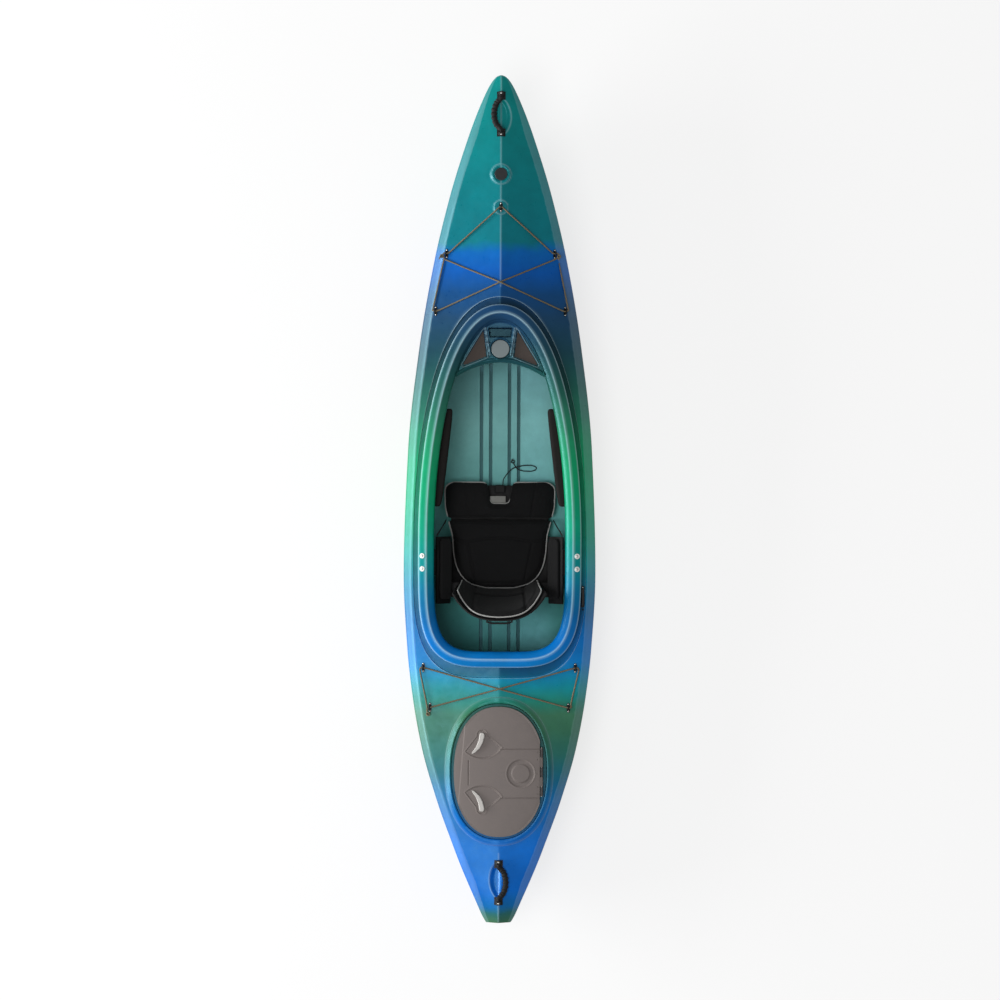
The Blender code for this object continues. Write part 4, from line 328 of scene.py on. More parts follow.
class Skin:
    """Gathers grids of points into one welded mesh, whose faces take the material slot in use."""

    def __init__(self):
        self.points, self.faces, self.slots, self.tones, self.count, self.slot = [], [], [], [], 0, 0

    def add(self, points, faces, tone=0.0):
        self.points.append(points)
        self.faces.append(faces)
        self.slots.append(np.full(len(faces), self.slot))
        self.tones.append(np.broadcast_to(tone, len(points)).astype(np.float32))
        self.count += len(points)

    def grid(self, points, closed=False, flip=False, keep=None, tone=0.0):
        """A tone may be given for each point: below 0 where shade is painted into the colour, above 0 where a
        pale highlight is painted on."""
        rows, columns = points.shape[:2]
        tone = np.broadcast_to(np.asarray(tone, float), (rows, columns)).ravel()
        quads = grid_faces(rows, columns, self.count, closed, flip)
        if keep is not None:
            quads = quads[keep.ravel()]
        self.add(points.reshape(-1, 3), quads, tone)

    def cap(self, loop, flip=False):
        """A fan from the middle of a closed loop of points."""
        middle = loop.mean(axis=0)
        count = len(loop)
        i = np.arange(count)
        fan = np.stack([i, (i + 1) % count, np.full(count, count)], axis=1) + self.count
        self.add(np.vstack([loop, middle]), fan[:, ::-1] if flip else fan)

    def loft(self, rings, flip=False):
        """A closed skin through rings of points, with its two ends capped."""
        rings = np.array(rings)
        self.grid(rings, closed=True, flip=flip)
        self.cap(rings[0], flip=not flip)
        self.cap(rings[-1], flip=flip)

    def object(self, name, *materials, sharp=32.0, weld=2e-5, turn_out=False):
        """Puts the points and faces into a mesh, welds what meets, and shades it smooth."""
        mesh = bpy.data.meshes.new(name)
        faces = [tuple(face) for group in self.faces for face in group.tolist()]
        mesh.from_pydata(np.vstack(self.points).tolist(), [], faces)
        for material in materials:
            mesh.materials.append(material)
        mesh.polygons.foreach_set("material_index", np.concatenate(self.slots))
        tones = np.concatenate(self.tones)
        if tones.any():
            mesh.attributes.new("tone", "FLOAT", "POINT").data.foreach_set("value", tones)
        work = bmesh.new()
        work.from_mesh(mesh)
        bmesh.ops.remove_doubles(work, verts=work.verts[:], dist=weld)
        bmesh.ops.dissolve_degenerate(work, edges=work.edges[:], dist=1e-6)
        if turn_out:
            bmesh.ops.recalc_face_normals(work, faces=work.faces[:])
        work.to_mesh(mesh)
        work.free()
        mesh.shade_smooth()
        mesh.set_sharp_from_angle(angle=math.radians(sharp))
        return in_scene(name, mesh)


def bottom_half(ys, inset):
    """Half sections from the keel to just under the sheer, as rows along the hull. Their first columns
    stand at set distances from the middle, where the strakes' walls are, and the rest are evenly
    spaced round the section, a superellipse."""
    walls = [0.0, SKEG_SLOT_HALF, 0.018]
    for x in STRAKES:
        walls += [x - STRAKE_HALF - 0.0012, x - STRAKE_HALF, x + STRAKE_HALF, x + STRAKE_HALF + 0.0012]
    walls = np.array(walls)
    level = np.zeros(len(walls), bool)
    level[[4, 5, 8, 9]] = True
    rows = []
    for y in ys:
        beam, side = float(half_beam(y)) - inset, float(sheer(y))
        low = KEEL_Z + float(keel_rise(along(y))) + inset
        power = float(fullness(along(y)))
        fixed = walls * min(1.0, beam / 0.11)
        z_fixed = side - (side - low) * (1 - (fixed / beam) ** power) ** (1 / power)
        if STRAKE_BACK - STRAKE_RAMP < y < STRAKE_FRONT + STRAKE_RAMP:
            beyond = max(STRAKE_BACK - y, y - STRAKE_FRONT, 0.0) / STRAKE_RAMP
            foot = KEEL_Z * beyond + (inset * 0.9 if inset else 0.0)
            z_fixed = np.where(level & (z_fixed > foot), foot, z_fixed)
        drop = min(SHEER_ROUND, 0.25 * beam)
        first = math.asin((fixed[-1] / beam) ** (power / 2))
        last = math.acos((drop / (side - low)) ** (power / 2))
        turn = np.linspace(first, last, 160)
        x, z = beam * np.sin(turn) ** (2 / power), side - (side - low) * np.cos(turn) ** (2 / power)
        run = np.r_[0, np.cumsum(np.hypot(np.diff(x), np.diff(z)))]
        even = np.linspace(0, run[-1], 15 if inset == 0 else 9)
        xs = np.r_[fixed, np.interp(even, run, x)[1:]]
        zs = np.r_[z_fixed, np.interp(even, run, z)[1:]]
        rows.append(np.stack([xs, np.full(len(xs), y), zs], axis=1))
    return np.array(rows)


def gunwale(ys, bottom, inset):
    """From the bottom's last column round the sheer and up the edge band to the deck's crease."""
    hip = bottom[:, -1]
    beam, side = half_beam(ys) - inset, sheer(ys)
    corner = np.stack([beam, ys, side], axis=1)
    crease_x = deck_edge(ys)[0] - 0.6 * inset
    crease = np.stack([crease_x, ys, plain_deck(crease_x, ys) - inset], axis=1)
    reach = np.minimum(SHEER_ROUND, 0.25 * beam) / np.linalg.norm(crease - corner, axis=1)
    shoulder = corner + (crease - corner) * np.minimum(reach, 0.8)[:, None]
    columns = []
    for t in np.linspace(0, 1, 6 if inset == 0 else 3):
        columns.append((1 - t) ** 2 * hip + 2 * t * (1 - t) * corner + t * t * shoulder)
    for t in (0.4, 0.75, 0.92, 1.0) if inset == 0 else (1.0,):
        point = shoulder + (crease - shoulder) * t
        if inset == 0:
            point[:, 2] = np.where(t > 0.7, plain_deck(point[:, 0], ys), point[:, 2])
        columns.append(point)
    return np.stack(columns, axis=1)


def mirrored(points):
    return points * np.array([-1.0, 1.0, 1.0])


ZONES = (-1.6, -1.335, -0.72, -0.70, 0.80, 1.6)
SHARES = np.interp(np.linspace(0, 1, 41), (0, 0.35, 0.88, 1), (0, 0.14, 0.92, 1))
SHARES = np.r_[-SHARES[:0:-1], SHARES]
runs = [station_run(low, high) for low, high in zip(ZONES, ZONES[1:])]
stations = np.unique(np.concatenate(runs).round(7))


def deck_rows(ys, inset, height):
    """Rows across the deck between its creases."""
    crease_x = (deck_edge(ys)[0] - 0.6 * inset)[:, None]
    x = crease_x * SHARES[None, :]
    y = np.broadcast_to(ys[:, None], x.shape)
    z = height(x, y) - inset
    return np.stack([x, y, z], axis=2)


def ring_frame(shape, low, high, ys, inset):
    """The zone's outer boundary, clockwise from the middle of its front, and for each of its points the
    nearest point and normal of the oval inside it."""
    right = deck_edge(ys)[0] - 0.6 * inset
    middle = len(SHARES) // 2
    front = np.stack([SHARES * right[-1], np.full(len(SHARES), high)], axis=1)
    back = np.stack([SHARES * right[0], np.full(len(SHARES), low)], axis=1)
    star = np.stack([right, ys], axis=1)
    boundary = np.vstack([front[middle:-1], star[:0:-1], back[:0:-1],
                          (star * (-1, 1))[:-1], front[:middle]])
    points, normals = oval_points(shape, 6000)
    nearest = np.array([np.argmin(((points - b) ** 2).sum(axis=1)) for b in boundary])
    return boundary, points[nearest], normals[nearest]


def within(ys, low, high):
    """The places from low to high, both counted in."""
    return ys[(ys >= low - 1e-6) & (ys <= high + 1e-6)]


def deck_highlights(x, y):
    """Tones of the plain deck: painted pale highlights along its ridge and round the scoops, the roundel's
    seat and the front eye's seat."""
    tone = 0.32 * np.exp(-(x / 0.0030) ** 2)
    for middle, radius in ROUND_SEATS:
        off_ring = np.hypot(x, y - middle) - radius - 0.0005
        tone = np.maximum(tone, 0.4 * np.exp(-(off_ring / 0.0022) ** 2))
    for middle, side, half, outer, inner in SCOOPS:
        off_rim = np.abs(x * side - outer * scoop_lens(y, middle, half)) / 0.0024
        highlit = np.maximum(tone, 0.45 * np.exp(-off_rim**2) * (x * side > 0.004))
        tone = np.where(np.abs(y - middle) < half, highlit, tone)
    return tone


def ring_at(foot, normal, out, height, lift=0.0):
    """A ring moved out from the foot along its normals, at a height that goes with its place, plus a lift."""
    flat = foot + normal * np.reshape(out, (-1, 1))
    return np.c_[flat, height(flat[:, 0], flat[:, 1]) + lift]


def rim_level(x, y):
    return rim_height(y)


def seat_level(x, y):
    return np.full(len(x), HATCH_SEAT_Z)


def rim_inside(y):
    """Distance from the middle to the foot of the cockpit's rim."""
    end = "front" if y > COCKPIT["middle"] else "back"
    power = COCKPIT[end + "_power"]
    return COCKPIT["half"] * (1 - (abs(y - COCKPIT["middle"]) / COCKPIT[end]) ** power) ** (1 / power)


def groove_width(normal):
    end = np.where(normal[:, 1] > 0, GROOVE_FRONT, GROOVE_BACK)
    return RIM_WIDTH + GROOVE_SIDE + (end - GROOVE_SIDE) * normal[:, 1] ** 2


def out_to_boundary(edge, boundary, inset, height,
                    shares=(0.03, 0.09, 0.2, 0.36, 0.54, 0.72, 0.86, 0.95, 1.0)):
    """Rings from an edge out to the zone's boundary, at shares of the way."""
    found = []
    for share in shares:
        flat = edge + (boundary - edge) * share
        found.append(np.c_[flat, height(flat[:, 0], flat[:, 1]) - inset])
    return found


def cockpit_ring(ys):
    """Rings of the rolled rim and the groove round it, from the skirt's foot out over the crest, down the
    neck and out across the deck; then the same from the foot up inside and out under the deck."""
    boundary, foot, normal = ring_frame(COCKPIT, ZONES[3], ZONES[4], ys, 0.0)
    wide = groove_width(normal)
    outer = [ring_at(foot, normal, out, rim_level, drop) for out, drop in (
        (0, -0.050), (0, -0.034), (0, -0.024), (0.0012, -0.0185), (0.0045, -0.0140), (0.010, -0.0092),
        (0.017, -0.0050), (0.0235, -0.0018), (0.0270, -0.0003), (0.0290, 0.0), (0.032, -0.0004),
        (0.039, -0.0020), (0.047, -0.0045), (0.0545, -0.0080), (0.0585, -0.0110), (0.0600, -0.0140),
        (0.0592, -0.0172), (0.0568, -0.0186), (0.0560, -0.0205))]
    outer += [ring_at(foot, normal, out, plain_deck, lift) for out, lift in (
        (0.0560, 0.0035), (0.0566, 0.0), (0.0588, -0.0052), (wide - 0.0085, -0.0060),
        (wide - 0.0026, -0.0056), (wide - 0.0008, -0.0030), (wide, 0.0))]
    outer += out_to_boundary(outer[-1][:, :2], boundary, 0.0, plain_deck)
    inner_boundary = ring_frame(COCKPIT, ZONES[3], ZONES[4], ys, WALL)[0]
    inner = [outer[0]] + [ring_at(foot, normal, out, rim_level, drop) for out, drop in (
        (RIM_WALL, -0.050), (RIM_WALL, -0.026), (0.012, -0.016), (0.0282, -0.006), (0.0450, -0.011),
        (0.0500, -0.0155))]
    inner += [ring_at(foot, normal, out, plain_deck, -2.2 * WALL) for out in (0.050, wide + 0.004)]
    inner += out_to_boundary(inner[-1][:, :2], inner_boundary, WALL, plain_deck, (0.15, 0.6, 1.0))
    return np.array(outer), np.array(inner)


# Rows of the cockpit's rings with painted light and shade: painted highlights along the crest and the
# outer edges of the rim and the groove, painted shade down the skirt and in the groove under the rim.
RIM_LIGHT_AND_SHADE = {0: -0.5, 1: -0.45, 2: -0.3, 8: 0.35, 9: 0.75, 10: 0.35, 14: 0.45, 15: 0.8, 16: -0.6, 17: -0.9,
             18: -1.0, 19: -1.0, 20: -1.0, 21: -1.0, 22: -0.85, 23: -0.5, 24: 0.3, 25: 0.75, 26: 0.1}
# Rows of the hatch's rings with painted light and shade: painted shade over the seat and the step round the
# lid, and a painted highlight along the outer edge of the raised ring.
HATCH_LIGHT_AND_SHADE = {0: -0.8, 1: -0.8, 2: -0.9, 3: -0.9, 4: -0.7, 5: -0.2, 8: 0.12, 9: 0.30, 10: 0.05}


def hatch_ring(ys):
    """Rings from the hatch's hole out over its level seat, up the step and out across the deck."""
    boundary, foot, normal = ring_frame(HATCH, ZONES[1], ZONES[2], ys, 0.0)
    outer = [ring_at(foot, normal, out, seat_level) for out in (-0.024, -0.010, 0.006, 0.0095)]
    for out, lift in ((0.0106, -0.0015), (0.0122, 0.0028), (0.017, 0.0042), (0.025, 0.0042),
                      (0.0335, 0.0030), (0.0355, 0.0005)):
        ring = ring_at(foot, normal, out, plain_deck)
        raised = np.maximum(ring[:, 2], HATCH_SEAT_Z - 0.0035) - ring[:, 2]
        ring[:, 2] += raised * smoothstep((0.034 - out) / 0.02) + lift
        outer.append(ring)
    outer += out_to_boundary(foot + normal * 0.0375, boundary, 0.0, plain_deck,
                             (0.0, 0.1, 0.3, 0.55, 0.8, 0.95, 1.0))
    inner = [outer[0], ring_at(foot, normal, -0.024, seat_level, -WALL)]
    inner += out_to_boundary(inner[1][:, :2], ring_frame(HATCH, ZONES[1], ZONES[2], ys, WALL)[0], WALL,
                             lambda x, y: np.minimum(plain_deck(x, y), HATCH_SEAT_Z), (0.3, 0.6, 1.0))
    return np.array(outer), np.array(inner)


# Columns of the gunwale, from the hull's side up the edge band to the deck's crease: a painted reflection.
EDGE_SHEEN = np.array([0.0, 0.0, 0.0, 0.06, 0.12, 0.16, 0.17, 0.17, 0.2, 0.1])


def hull_skin(inset, flip):
    """Bottom, gunwales and the plain deck zones of the outer or the inner skin."""
    low, high = (-LENGTH / 2, LENGTH / 2) if inset == 0 else (-1.575, 1.555)
    ys = np.unique(np.r_[low, stations[(stations > low + 0.002) & (stations < high - 0.002)], high])
    if inset:
        inside = (ys > SKEG_SLOT_BACK - 0.02) & (ys < ZONES[4])
        thin = np.arange(len(ys)) % 4 == 0
        ends = np.isin(ys.round(7), np.r_[low, high, ZONES].round(7))
        ys = ys[inside | thin | ends]
    bottom = bottom_half(ys, inset)
    sides = gunwale(ys, bottom, inset)
    middle = (ys[1:] + ys[:-1]) / 2
    slot = (middle > SKEG_SLOT_BACK) & (middle < SKEG_SLOT_FRONT)
    keep = np.ones((len(ys) - 1, bottom.shape[1] - 1), bool)
    keep[slot, 0] = False
    for turn, sign in ((mirrored, True), (lambda p: p, False)):
        skin.grid(turn(bottom), flip=flip ^ sign, keep=keep)
        skin.grid(turn(sides), flip=flip ^ sign,
                  tone=0.0 if inset else EDGE_SHEEN + np.zeros(sides.shape[:2]))
    height = deck_with_details if inset == 0 else inner_deck
    for a, b in ((ZONES[0], ZONES[1]), (ZONES[2], ZONES[3]), (ZONES[4], ZONES[5])):
        deck = deck_rows(within(ys, a, b), inset, height)
        skin.grid(deck, flip=not flip, tone=0.0 if inset else deck_highlights(deck[..., 0], deck[..., 1]))
    for row, turned in ((0, False), (-1, True)):
        y = ys[row]
        star = np.vstack([bottom[row], sides[row][1:]])
        deck = deck_rows(np.array([y]), inset, height)[0]
        loop = np.vstack([star, deck[-2:0:-1], mirrored(star)[:0:-1]])
        skin.cap(loop, flip=turned ^ flip)
    rim = bottom[(ys > SKEG_SLOT_BACK - 1e-4) & (ys < SKEG_SLOT_FRONT + 1e-4), :2]
    return ys, np.vstack([rim[:, 1], rim[-1:, 0], mirrored(rim[::-1, 1]), rim[:1, 0]])


for y in (SKEG_SLOT_BACK, SKEG_SLOT_FRONT):
    stations[np.argmin(np.abs(stations - y))] = y
skin = Skin()
outer_ys, slot_rim = hull_skin(0.0, False)
skin.slot = 1
inner_slot_rim = hull_skin(WALL, True)[1]
skin.grid(np.array([slot_rim, inner_slot_rim]), closed=True)
ring_ys = within(outer_ys, ZONES[3], ZONES[4])
for rings, marks in ((cockpit_ring(ring_ys), RIM_LIGHT_AND_SHADE),
                     (hatch_ring(within(outer_ys, ZONES[1], ZONES[2])), HATCH_LIGHT_AND_SHADE)):
    skin.slot = 0
    tones = np.zeros((len(rings[0]), 1))
    tones[list(marks), 0] = list(marks.values())
    if marks is RIM_LIGHT_AND_SHADE:
        # The groove's shade is strongest fore and aft, where it is widest.
        facing = ring_frame(COCKPIT, ZONES[3], ZONES[4], ring_ys, 0.0)[2][None, :, 1]
        tones = np.repeat(tones, facing.size, axis=1)
        tones[17:24] *= 0.35 + 0.65 * facing**2
    skin.grid(rings[0], closed=True, tone=tones)
    skin.slot = 1
    skin.grid(rings[1], closed=True, flip=True)
skin.slot = 0

# Dash
# The shelf moulded across the front of the cockpit in the same skin: an arched aft lip turned down,
# two recesses for the tray pads, a deep well, a round socket, two ribs and a crossbar.
DASH_HALF, DASH_ARCH_Y, DASH_ARCH_BOW, DASH_Z, DASH_Y, DASH_SLOPE = 0.1665, 0.523, 2.0, 0.332, 0.482, 0.15
TRAY_CORNERS = ((0.062, 0.639), (0.050, 0.539), (0.139, 0.504), (0.143, 0.509), (0.067, 0.634))
WELL_CORNERS = ((-0.046, 0.648), (-0.040, 0.612), (0.040, 0.612), (0.046, 0.648))
PUCK_Y, PUCK_SOCKET_RADIUS, PUCK_SOCKET_Z = 0.569, 0.0348, 0.3370
# The two ribs beside the socket and the two halves of the crossbar: ends of the line, and half width.
DASH_RIBS = (((0.0545, 0.6465), (0.0390, 0.5455), 0.0034), ((0.0375, 0.589), (0.057, 0.589), 0.0032))


def depth_inside(x, y, corners):
    """How far a point lies inside a convex outline: the least distance to the lines of its edges."""
    corners = np.array(corners, float)
    middle, depth = corners.mean(axis=0), np.full(np.shape(x), 9.0)
    for a, b in zip(corners, np.roll(corners, -1, axis=0)):
        normal = np.array([a[1] - b[1], b[0] - a[0]]) / math.dist(a, b)
        normal *= np.sign(normal @ (middle - a))
        depth = np.minimum(depth, (x - a[0]) * normal[0] + (y - a[1]) * normal[1])
    return depth


def from_line(x, y, a, b):
    """Distance from the stretch of line between two points."""
    run = np.array(b) - np.array(a)
    share = np.clip(((x - a[0]) * run[0] + (y - a[1]) * run[1]) / (run @ run), 0, 1)
    return np.hypot(x - a[0] - share * run[0], y - a[1] - share * run[1])


def dash_front(x):
    power = COCKPIT["front_power"]
    reach = (1 - (np.abs(x) / COCKPIT["half"]) ** power) ** (1 / power)
    return COCKPIT["middle"] + COCKPIT["front"] * reach + 0.003


def dash_height(x, y):
    """A shelf that rises forward, plus each moulding as a smooth step of the distance from its outline."""
    side = np.abs(x)
    z = DASH_Z + DASH_SLOPE * (y - DASH_Y)
    z = z + 0.012 * smoothstep((0.012 - (dash_front(x) - y)) / 0.012)
    z = z + 0.006 * smoothstep(1 - np.abs(y - (DASH_ARCH_Y - DASH_ARCH_BOW * x * x) - 0.006) / 0.008)
    tray = depth_inside(side, y, TRAY_CORNERS)
    z = z + 0.0026 * smoothstep(1 - np.abs(tray + 0.0035) / 0.0035)
    z = z - 0.008 * smoothstep((tray + 0.0007) / 0.0015)
    z = z - 0.020 * smoothstep(depth_inside(x, y, WELL_CORNERS) / 0.003)
    away = np.hypot(x, y - PUCK_Y)
    z = z + (PUCK_SOCKET_Z - z) * smoothstep((PUCK_SOCKET_RADIUS + 0.0012 - away) / 0.002)
    z = z + 0.003 * smoothstep(1 - np.abs(away - PUCK_SOCKET_RADIUS - 0.004) / 0.003)
    for start, end, half in DASH_RIBS:
        z = z + 0.0045 * smoothstep((half - from_line(side, y, start, end)) / 0.002)
    return z


across = DASH_HALF * eased(160)
aft, fore = DASH_ARCH_Y - DASH_ARCH_BOW * across**2, dash_front(across)
shares = np.linspace(0, 1, 84)
dash_y = fore[:, None] + (aft - fore)[:, None] * shares
dash_x = np.broadcast_to(across[:, None], dash_y.shape)
shelf = np.stack([dash_x, dash_y, dash_height(dash_x, dash_y)], axis=2)
edge = shelf[:, -1]
turned = [edge + np.array([0, -back, -down]) for back, down in
          ((0.003, 0.001), (0.0048, 0.004), (0.0052, 0.009), (0.0052, 0.026), (0.0036, 0.028),
           (0.0012, 0.026), (0.0012, 0.010))]
under = []
for share in (0.12, 1.0):
    y = aft + (fore - aft) * share
    under.append(np.stack([across, y, DASH_Z - 0.027 + DASH_SLOPE * (y - DASH_Y)], axis=1))
loops = np.concatenate([shelf, np.stack(turned + under, axis=1)], axis=1)
x, y = loops[..., 0], loops[..., 1]
side = np.abs(x)
# Painted light and shade on the dash, as tones: a painted highlight along the tray pads' lips and the ribs,
# painted shade in the well and over the centre ahead of the socket, between the ribs.
off_rib = np.min([from_line(side, y, start, end) for start, end, half in DASH_RIBS], axis=0)
lips = np.maximum(smoothstep(1 - np.abs(depth_inside(side, y, TRAY_CORNERS) + 0.0035) / 0.0035),
                  smoothstep((0.0034 - off_rib) / 0.002))
well = smoothstep(depth_inside(x, y, WELL_CORNERS) / 0.003)
shade = (smoothstep((0.044 - side) / 0.006) * smoothstep((np.hypot(x, y - PUCK_Y) - 0.040) / 0.006)
         * smoothstep((y - 0.575) / 0.01) * smoothstep((0.660 - y) / 0.01))
skin.grid(loops, closed=True, tone=0.32 * lips - 0.9 * well - 0.55 * shade)
skin.cap(loops[0])
skin.cap(loops[-1], flip=True)

# The colours that were tipped into the mould one after another, from stern to bow, as (y, colour).
HULL_COLOURS = ((-1.600, (62, 105, 75)), (-1.565, (40, 98, 92)), (-1.540, (8, 96, 160)),
                (-1.480, (2, 98, 196)), (-1.300, (2, 98, 192)), (-1.180, (3, 96, 170)),
                (-1.090, (6, 93, 140)), (-1.030, (16, 93, 108)), (-0.960, (38, 100, 86)),
                (-0.880, (52, 104, 74)), (-0.810, (58, 110, 78)), (-0.760, (28, 122, 104)),
                (-0.715, (8, 130, 140)), (-0.675, (4, 128, 168)), (-0.630, (2, 116, 190)),
                (-0.540, (2, 104, 184)), (-0.440, (2, 94, 158)), (-0.340, (2, 108, 148)),
                (-0.255, (2, 130, 136)), (-0.120, (2, 146, 112)), (0.020, (3, 148, 97)),
                (0.140, (10, 144, 92)), (0.240, (32, 132, 90)), (0.330, (38, 108, 84)),
                (0.430, (30, 84, 74)), (0.560, (24, 60, 74)), (0.690, (26, 60, 96)),
                (0.780, (14, 66, 122)), (0.860, (3, 80, 166)), (0.935, (3, 92, 172)),
                (0.975, (6, 110, 122)), (1.590, (4, 128, 124)))
COLOUR_BLUR = 0.075


def linear(colour):
    """A screen colour of 0 to 255 as the light it stands for."""
    share = np.array(colour, float) / 255
    return (*np.where(share <= 0.04045, share / 12.92, ((share + 0.055) / 1.055) ** 2.4), 1.0)


def grain(tree, shader, scale, strength, distance):
    """Fine bumps of noise over a surface, on the object's own coordinates, whose node is returned."""
    place = node(tree, "TexCoord")
    noise = node(tree, "TexNoise", Scale=scale, Detail=3.0)
    bump = node(tree, "Bump", Strength=strength, Distance=distance)
    wire(tree, place, "Object", noise, "Vector", noise, "Fac", bump, "Height",
         bump, "Normal", shader, "Normal")
    return place


def multiplied(tree, colour, result, factor):
    """A node that multiplies a node's colour result by a factor."""
    made = node(tree, "Mix", data_type="RGBA", blend_type="MULTIPLY", Factor=1.0)
    wire(tree, colour, result, made, "A", factor, 0, made, "B")
    return made


def moulded_hull(name, colours, seams=()):
    """Polyethylene whose colour runs along the hull, its edges blurred and mottled by slow noise, with a
    faint sheen, small scuffs in the roughness and the fine orange-peel of the mould. Where seams are given,
    as distances from the middle, shade is painted along the floor's grooves there; otherwise the points'
    tones paint shade into the colour or paint a pale highlight over it."""
    material, tree, shader = surface_of(name, Specular_IOR_Level=0.42, Specular_Tint=(0.36, 0.84, 1.0, 1.0))
    place = grain(tree, shader, 420.0, 0.10, 0.0004)
    parts = node(tree, "SeparateXYZ")
    slow = node(tree, "TexNoise", Scale=5.0, Detail=3.0, Roughness=0.6)
    shift = sum_with(tree, "MULTIPLY_ADD", COLOUR_BLUR)
    start = sum_with(tree, "SUBTRACT", COLOUR_BLUR / 2)
    reach = ranged(tree, -LENGTH / 2, LENGTH / 2)
    ramp = node(tree, "ValToRGB")
    stops = ramp.color_ramp.elements
    while len(stops) < len(colours):
        stops.new(0.5)
    for stop, (y, colour) in zip(stops, colours):
        stop.position = y / LENGTH + 0.5
    for stop, (y, colour) in zip(stops, colours):
        stop.color = linear(colour)
    mottle = node(tree, "TexNoise", Scale=11.0, Detail=5.0, Roughness=0.65)
    shade = ranged(tree, 0.3, 0.7, 0.90, 1.12)
    scuff = node(tree, "TexNoise", Scale=38.0, Detail=6.0, Roughness=0.7)
    rough = ranged(tree, 0.35, 0.75, 0.27, 0.40)
    wire(tree, place, "Object", parts, 0, place, "Object", slow, "Vector", slow, "Fac", shift, 0,
         parts, "Y", shift, 2, shift, 0, start, 0, start, 0, reach, "Value", reach, 0, ramp, 0,
         place, "Object", mottle, "Vector", mottle, "Fac", shade, "Value",
         place, "Object", scuff, "Vector", scuff, "Fac", rough, "Value", rough, 0, shader, "Roughness")
    tint = multiplied(tree, ramp, "Color", shade)
    # Painted shade along the floor's grooves: the colour darkened within about 5 mm of each line.
    if seams:
        low, high = seams
        steps = []
        for shift in ((low + high) / 2, (high - low) / 2):
            steps += [node(tree, "Math", operation="ABSOLUTE"), sum_with(tree, "SUBTRACT", shift)]
        steps += [node(tree, "Math", operation="ABSOLUTE"),
                  ranged(tree, 0.0048, 0.0066, 0.22, 1.0)]
        for a, b in zip([parts] + steps, steps):
            wire(tree, a, 0, b, 0)
        coloured = multiplied(tree, tint, "Result", steps[-1])
    else:
        # Painted light and shade from the points' tones: below 0 the colour is darkened as painted shade,
        # above 0 it is mixed towards a pale blue-white as a painted highlight.
        marked = node(tree, "Attribute", attribute_name="tone")
        painted_shade = ranged(tree, -1.0, 0.0, 0.30, 1.0)
        worn = ranged(tree, 0.0, 1.0, 0.0, 0.62)
        deep = multiplied(tree, tint, "Result", painted_shade)
        coloured = node(tree, "Mix", data_type="RGBA", B=linear((190, 222, 232)))
        wire(tree, marked, "Fac", painted_shade, "Value", marked, "Fac", worn, "Value",
             deep, "Result", coloured, "A", worn, 0, coloured, "Factor")
    wire(tree, coloured, "Result", shader, "Base Color")
    return material


def dark_grain(name, colour, rough=0.5, scale=300.0, strength=0.25, depth=0.0004, vary=0.18, metal=0.0):
    """A moulded or rolled finish of one colour: fine bumps, and a slow variation in shade and gloss."""
    material, tree, shader = surface_of(name, Specular_IOR_Level=0.3, Metallic=metal)
    place = grain(tree, shader, scale, strength, depth)
    slow = node(tree, "TexNoise", Scale=22.0, Detail=6.0, Roughness=0.65)
    shade = shades(tree, colour, vary)
    gloss = ranged(tree, 0.3, 0.7, rough - 0.08, rough + 0.08)
    wire(tree, place, "Object", slow, "Vector", slow, "Fac", shade, "Factor",
         shade, "Result", shader, "Base Color", slow, "Fac", gloss, "Value",
         gloss, 0, shader, "Roughness")
    return material


def shades(tree, colour, vary):
    """A mix from a darker to a lighter shade of a colour."""
    return node(tree, "Mix", data_type="RGBA", A=linear([c * (1 - vary) for c in colour]),
                B=linear([min(255, c * (1 + vary)) for c in colour]))


def dress(material, *names):
    """Gives CAD nodes whose shape is right their real finish."""
    for name in names:
        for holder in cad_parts[name].material_slots:
            holder.material = material


def placed(piece, body, finish, *names):
    """Says what a piece rides on and stands for; the finish it is given is not used."""
    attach(piece, body)
    if names:
        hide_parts(*names)


INSIDE_COLOURS = ((-1.60, (34, 100, 98)), (-0.60, (58, 128, 124)), (-0.10, (92, 160, 154)),
                  (0.30, (132, 192, 188)), (0.50, (112, 168, 168)), (0.90, (56, 104, 112)))
hull_plastic = moulded_hull("hull_plastic", HULL_COLOURS)
hull_inside = moulded_hull("hull_inside", INSIDE_COLOURS, STRAKES)
hull_shell = skin.object("hull_shell", hull_plastic, hull_inside, turn_out=True)
placed(hull_shell, "kayak", "hull_plastic", "hull")

# Rear hatch
# A pressed plastic cover, crowned, cut straight along its hinge side, with turning latches in two
# sunk sectors, a ring dish, panel grooves and a turned-down edge, over a frame, gasket and hinge rod.
LID_Z, LID_CROWN, LID_STRAIGHT_X, LID_FOOT_Z = 0.3075, 0.008, 0.1545, 0.2901
LATCH_X, LATCH_OFFSET, LATCH_REACH, LATCH_LEAN, LATCH_SWING = -0.064, 0.140, 0.086, 28.0, 68.0
RECESS_FLOOR_Z, RING_X, RING_Y, RING_OUT, RING_IN = 0.3113, 0.0827, -1.0321, 0.0525, 0.0325
HINGE_X, HINGE_Z, HINGE_HALF, KNUCKLE_RADIUS = 0.161, 0.3015, 0.092, 0.0054


def lid_plan(across, back):
    """The unit square on the cover: first to a disc, by each axis times the root of one less half the
    other squared, then out to the oval and in to the straight hinge side."""
    x, y = across * np.sqrt(1 - back**2 / 2), back * np.sqrt(1 - across**2 / 2)
    turn, power = np.arctan2(y, x), HATCH["front_power"]
    reach = (np.abs(np.cos(turn)) ** power + np.abs(np.sin(turn)) ** power) ** (-1 / power)
    straight = LID_STRAIGHT_X / HATCH_HALF_WIDTH / np.maximum(np.cos(turn), 1e-3)
    reach = np.minimum(reach, straight)
    return x * reach * HATCH_HALF_WIDTH, HATCH_Y + y * reach * HATCH_HALF_LENGTH


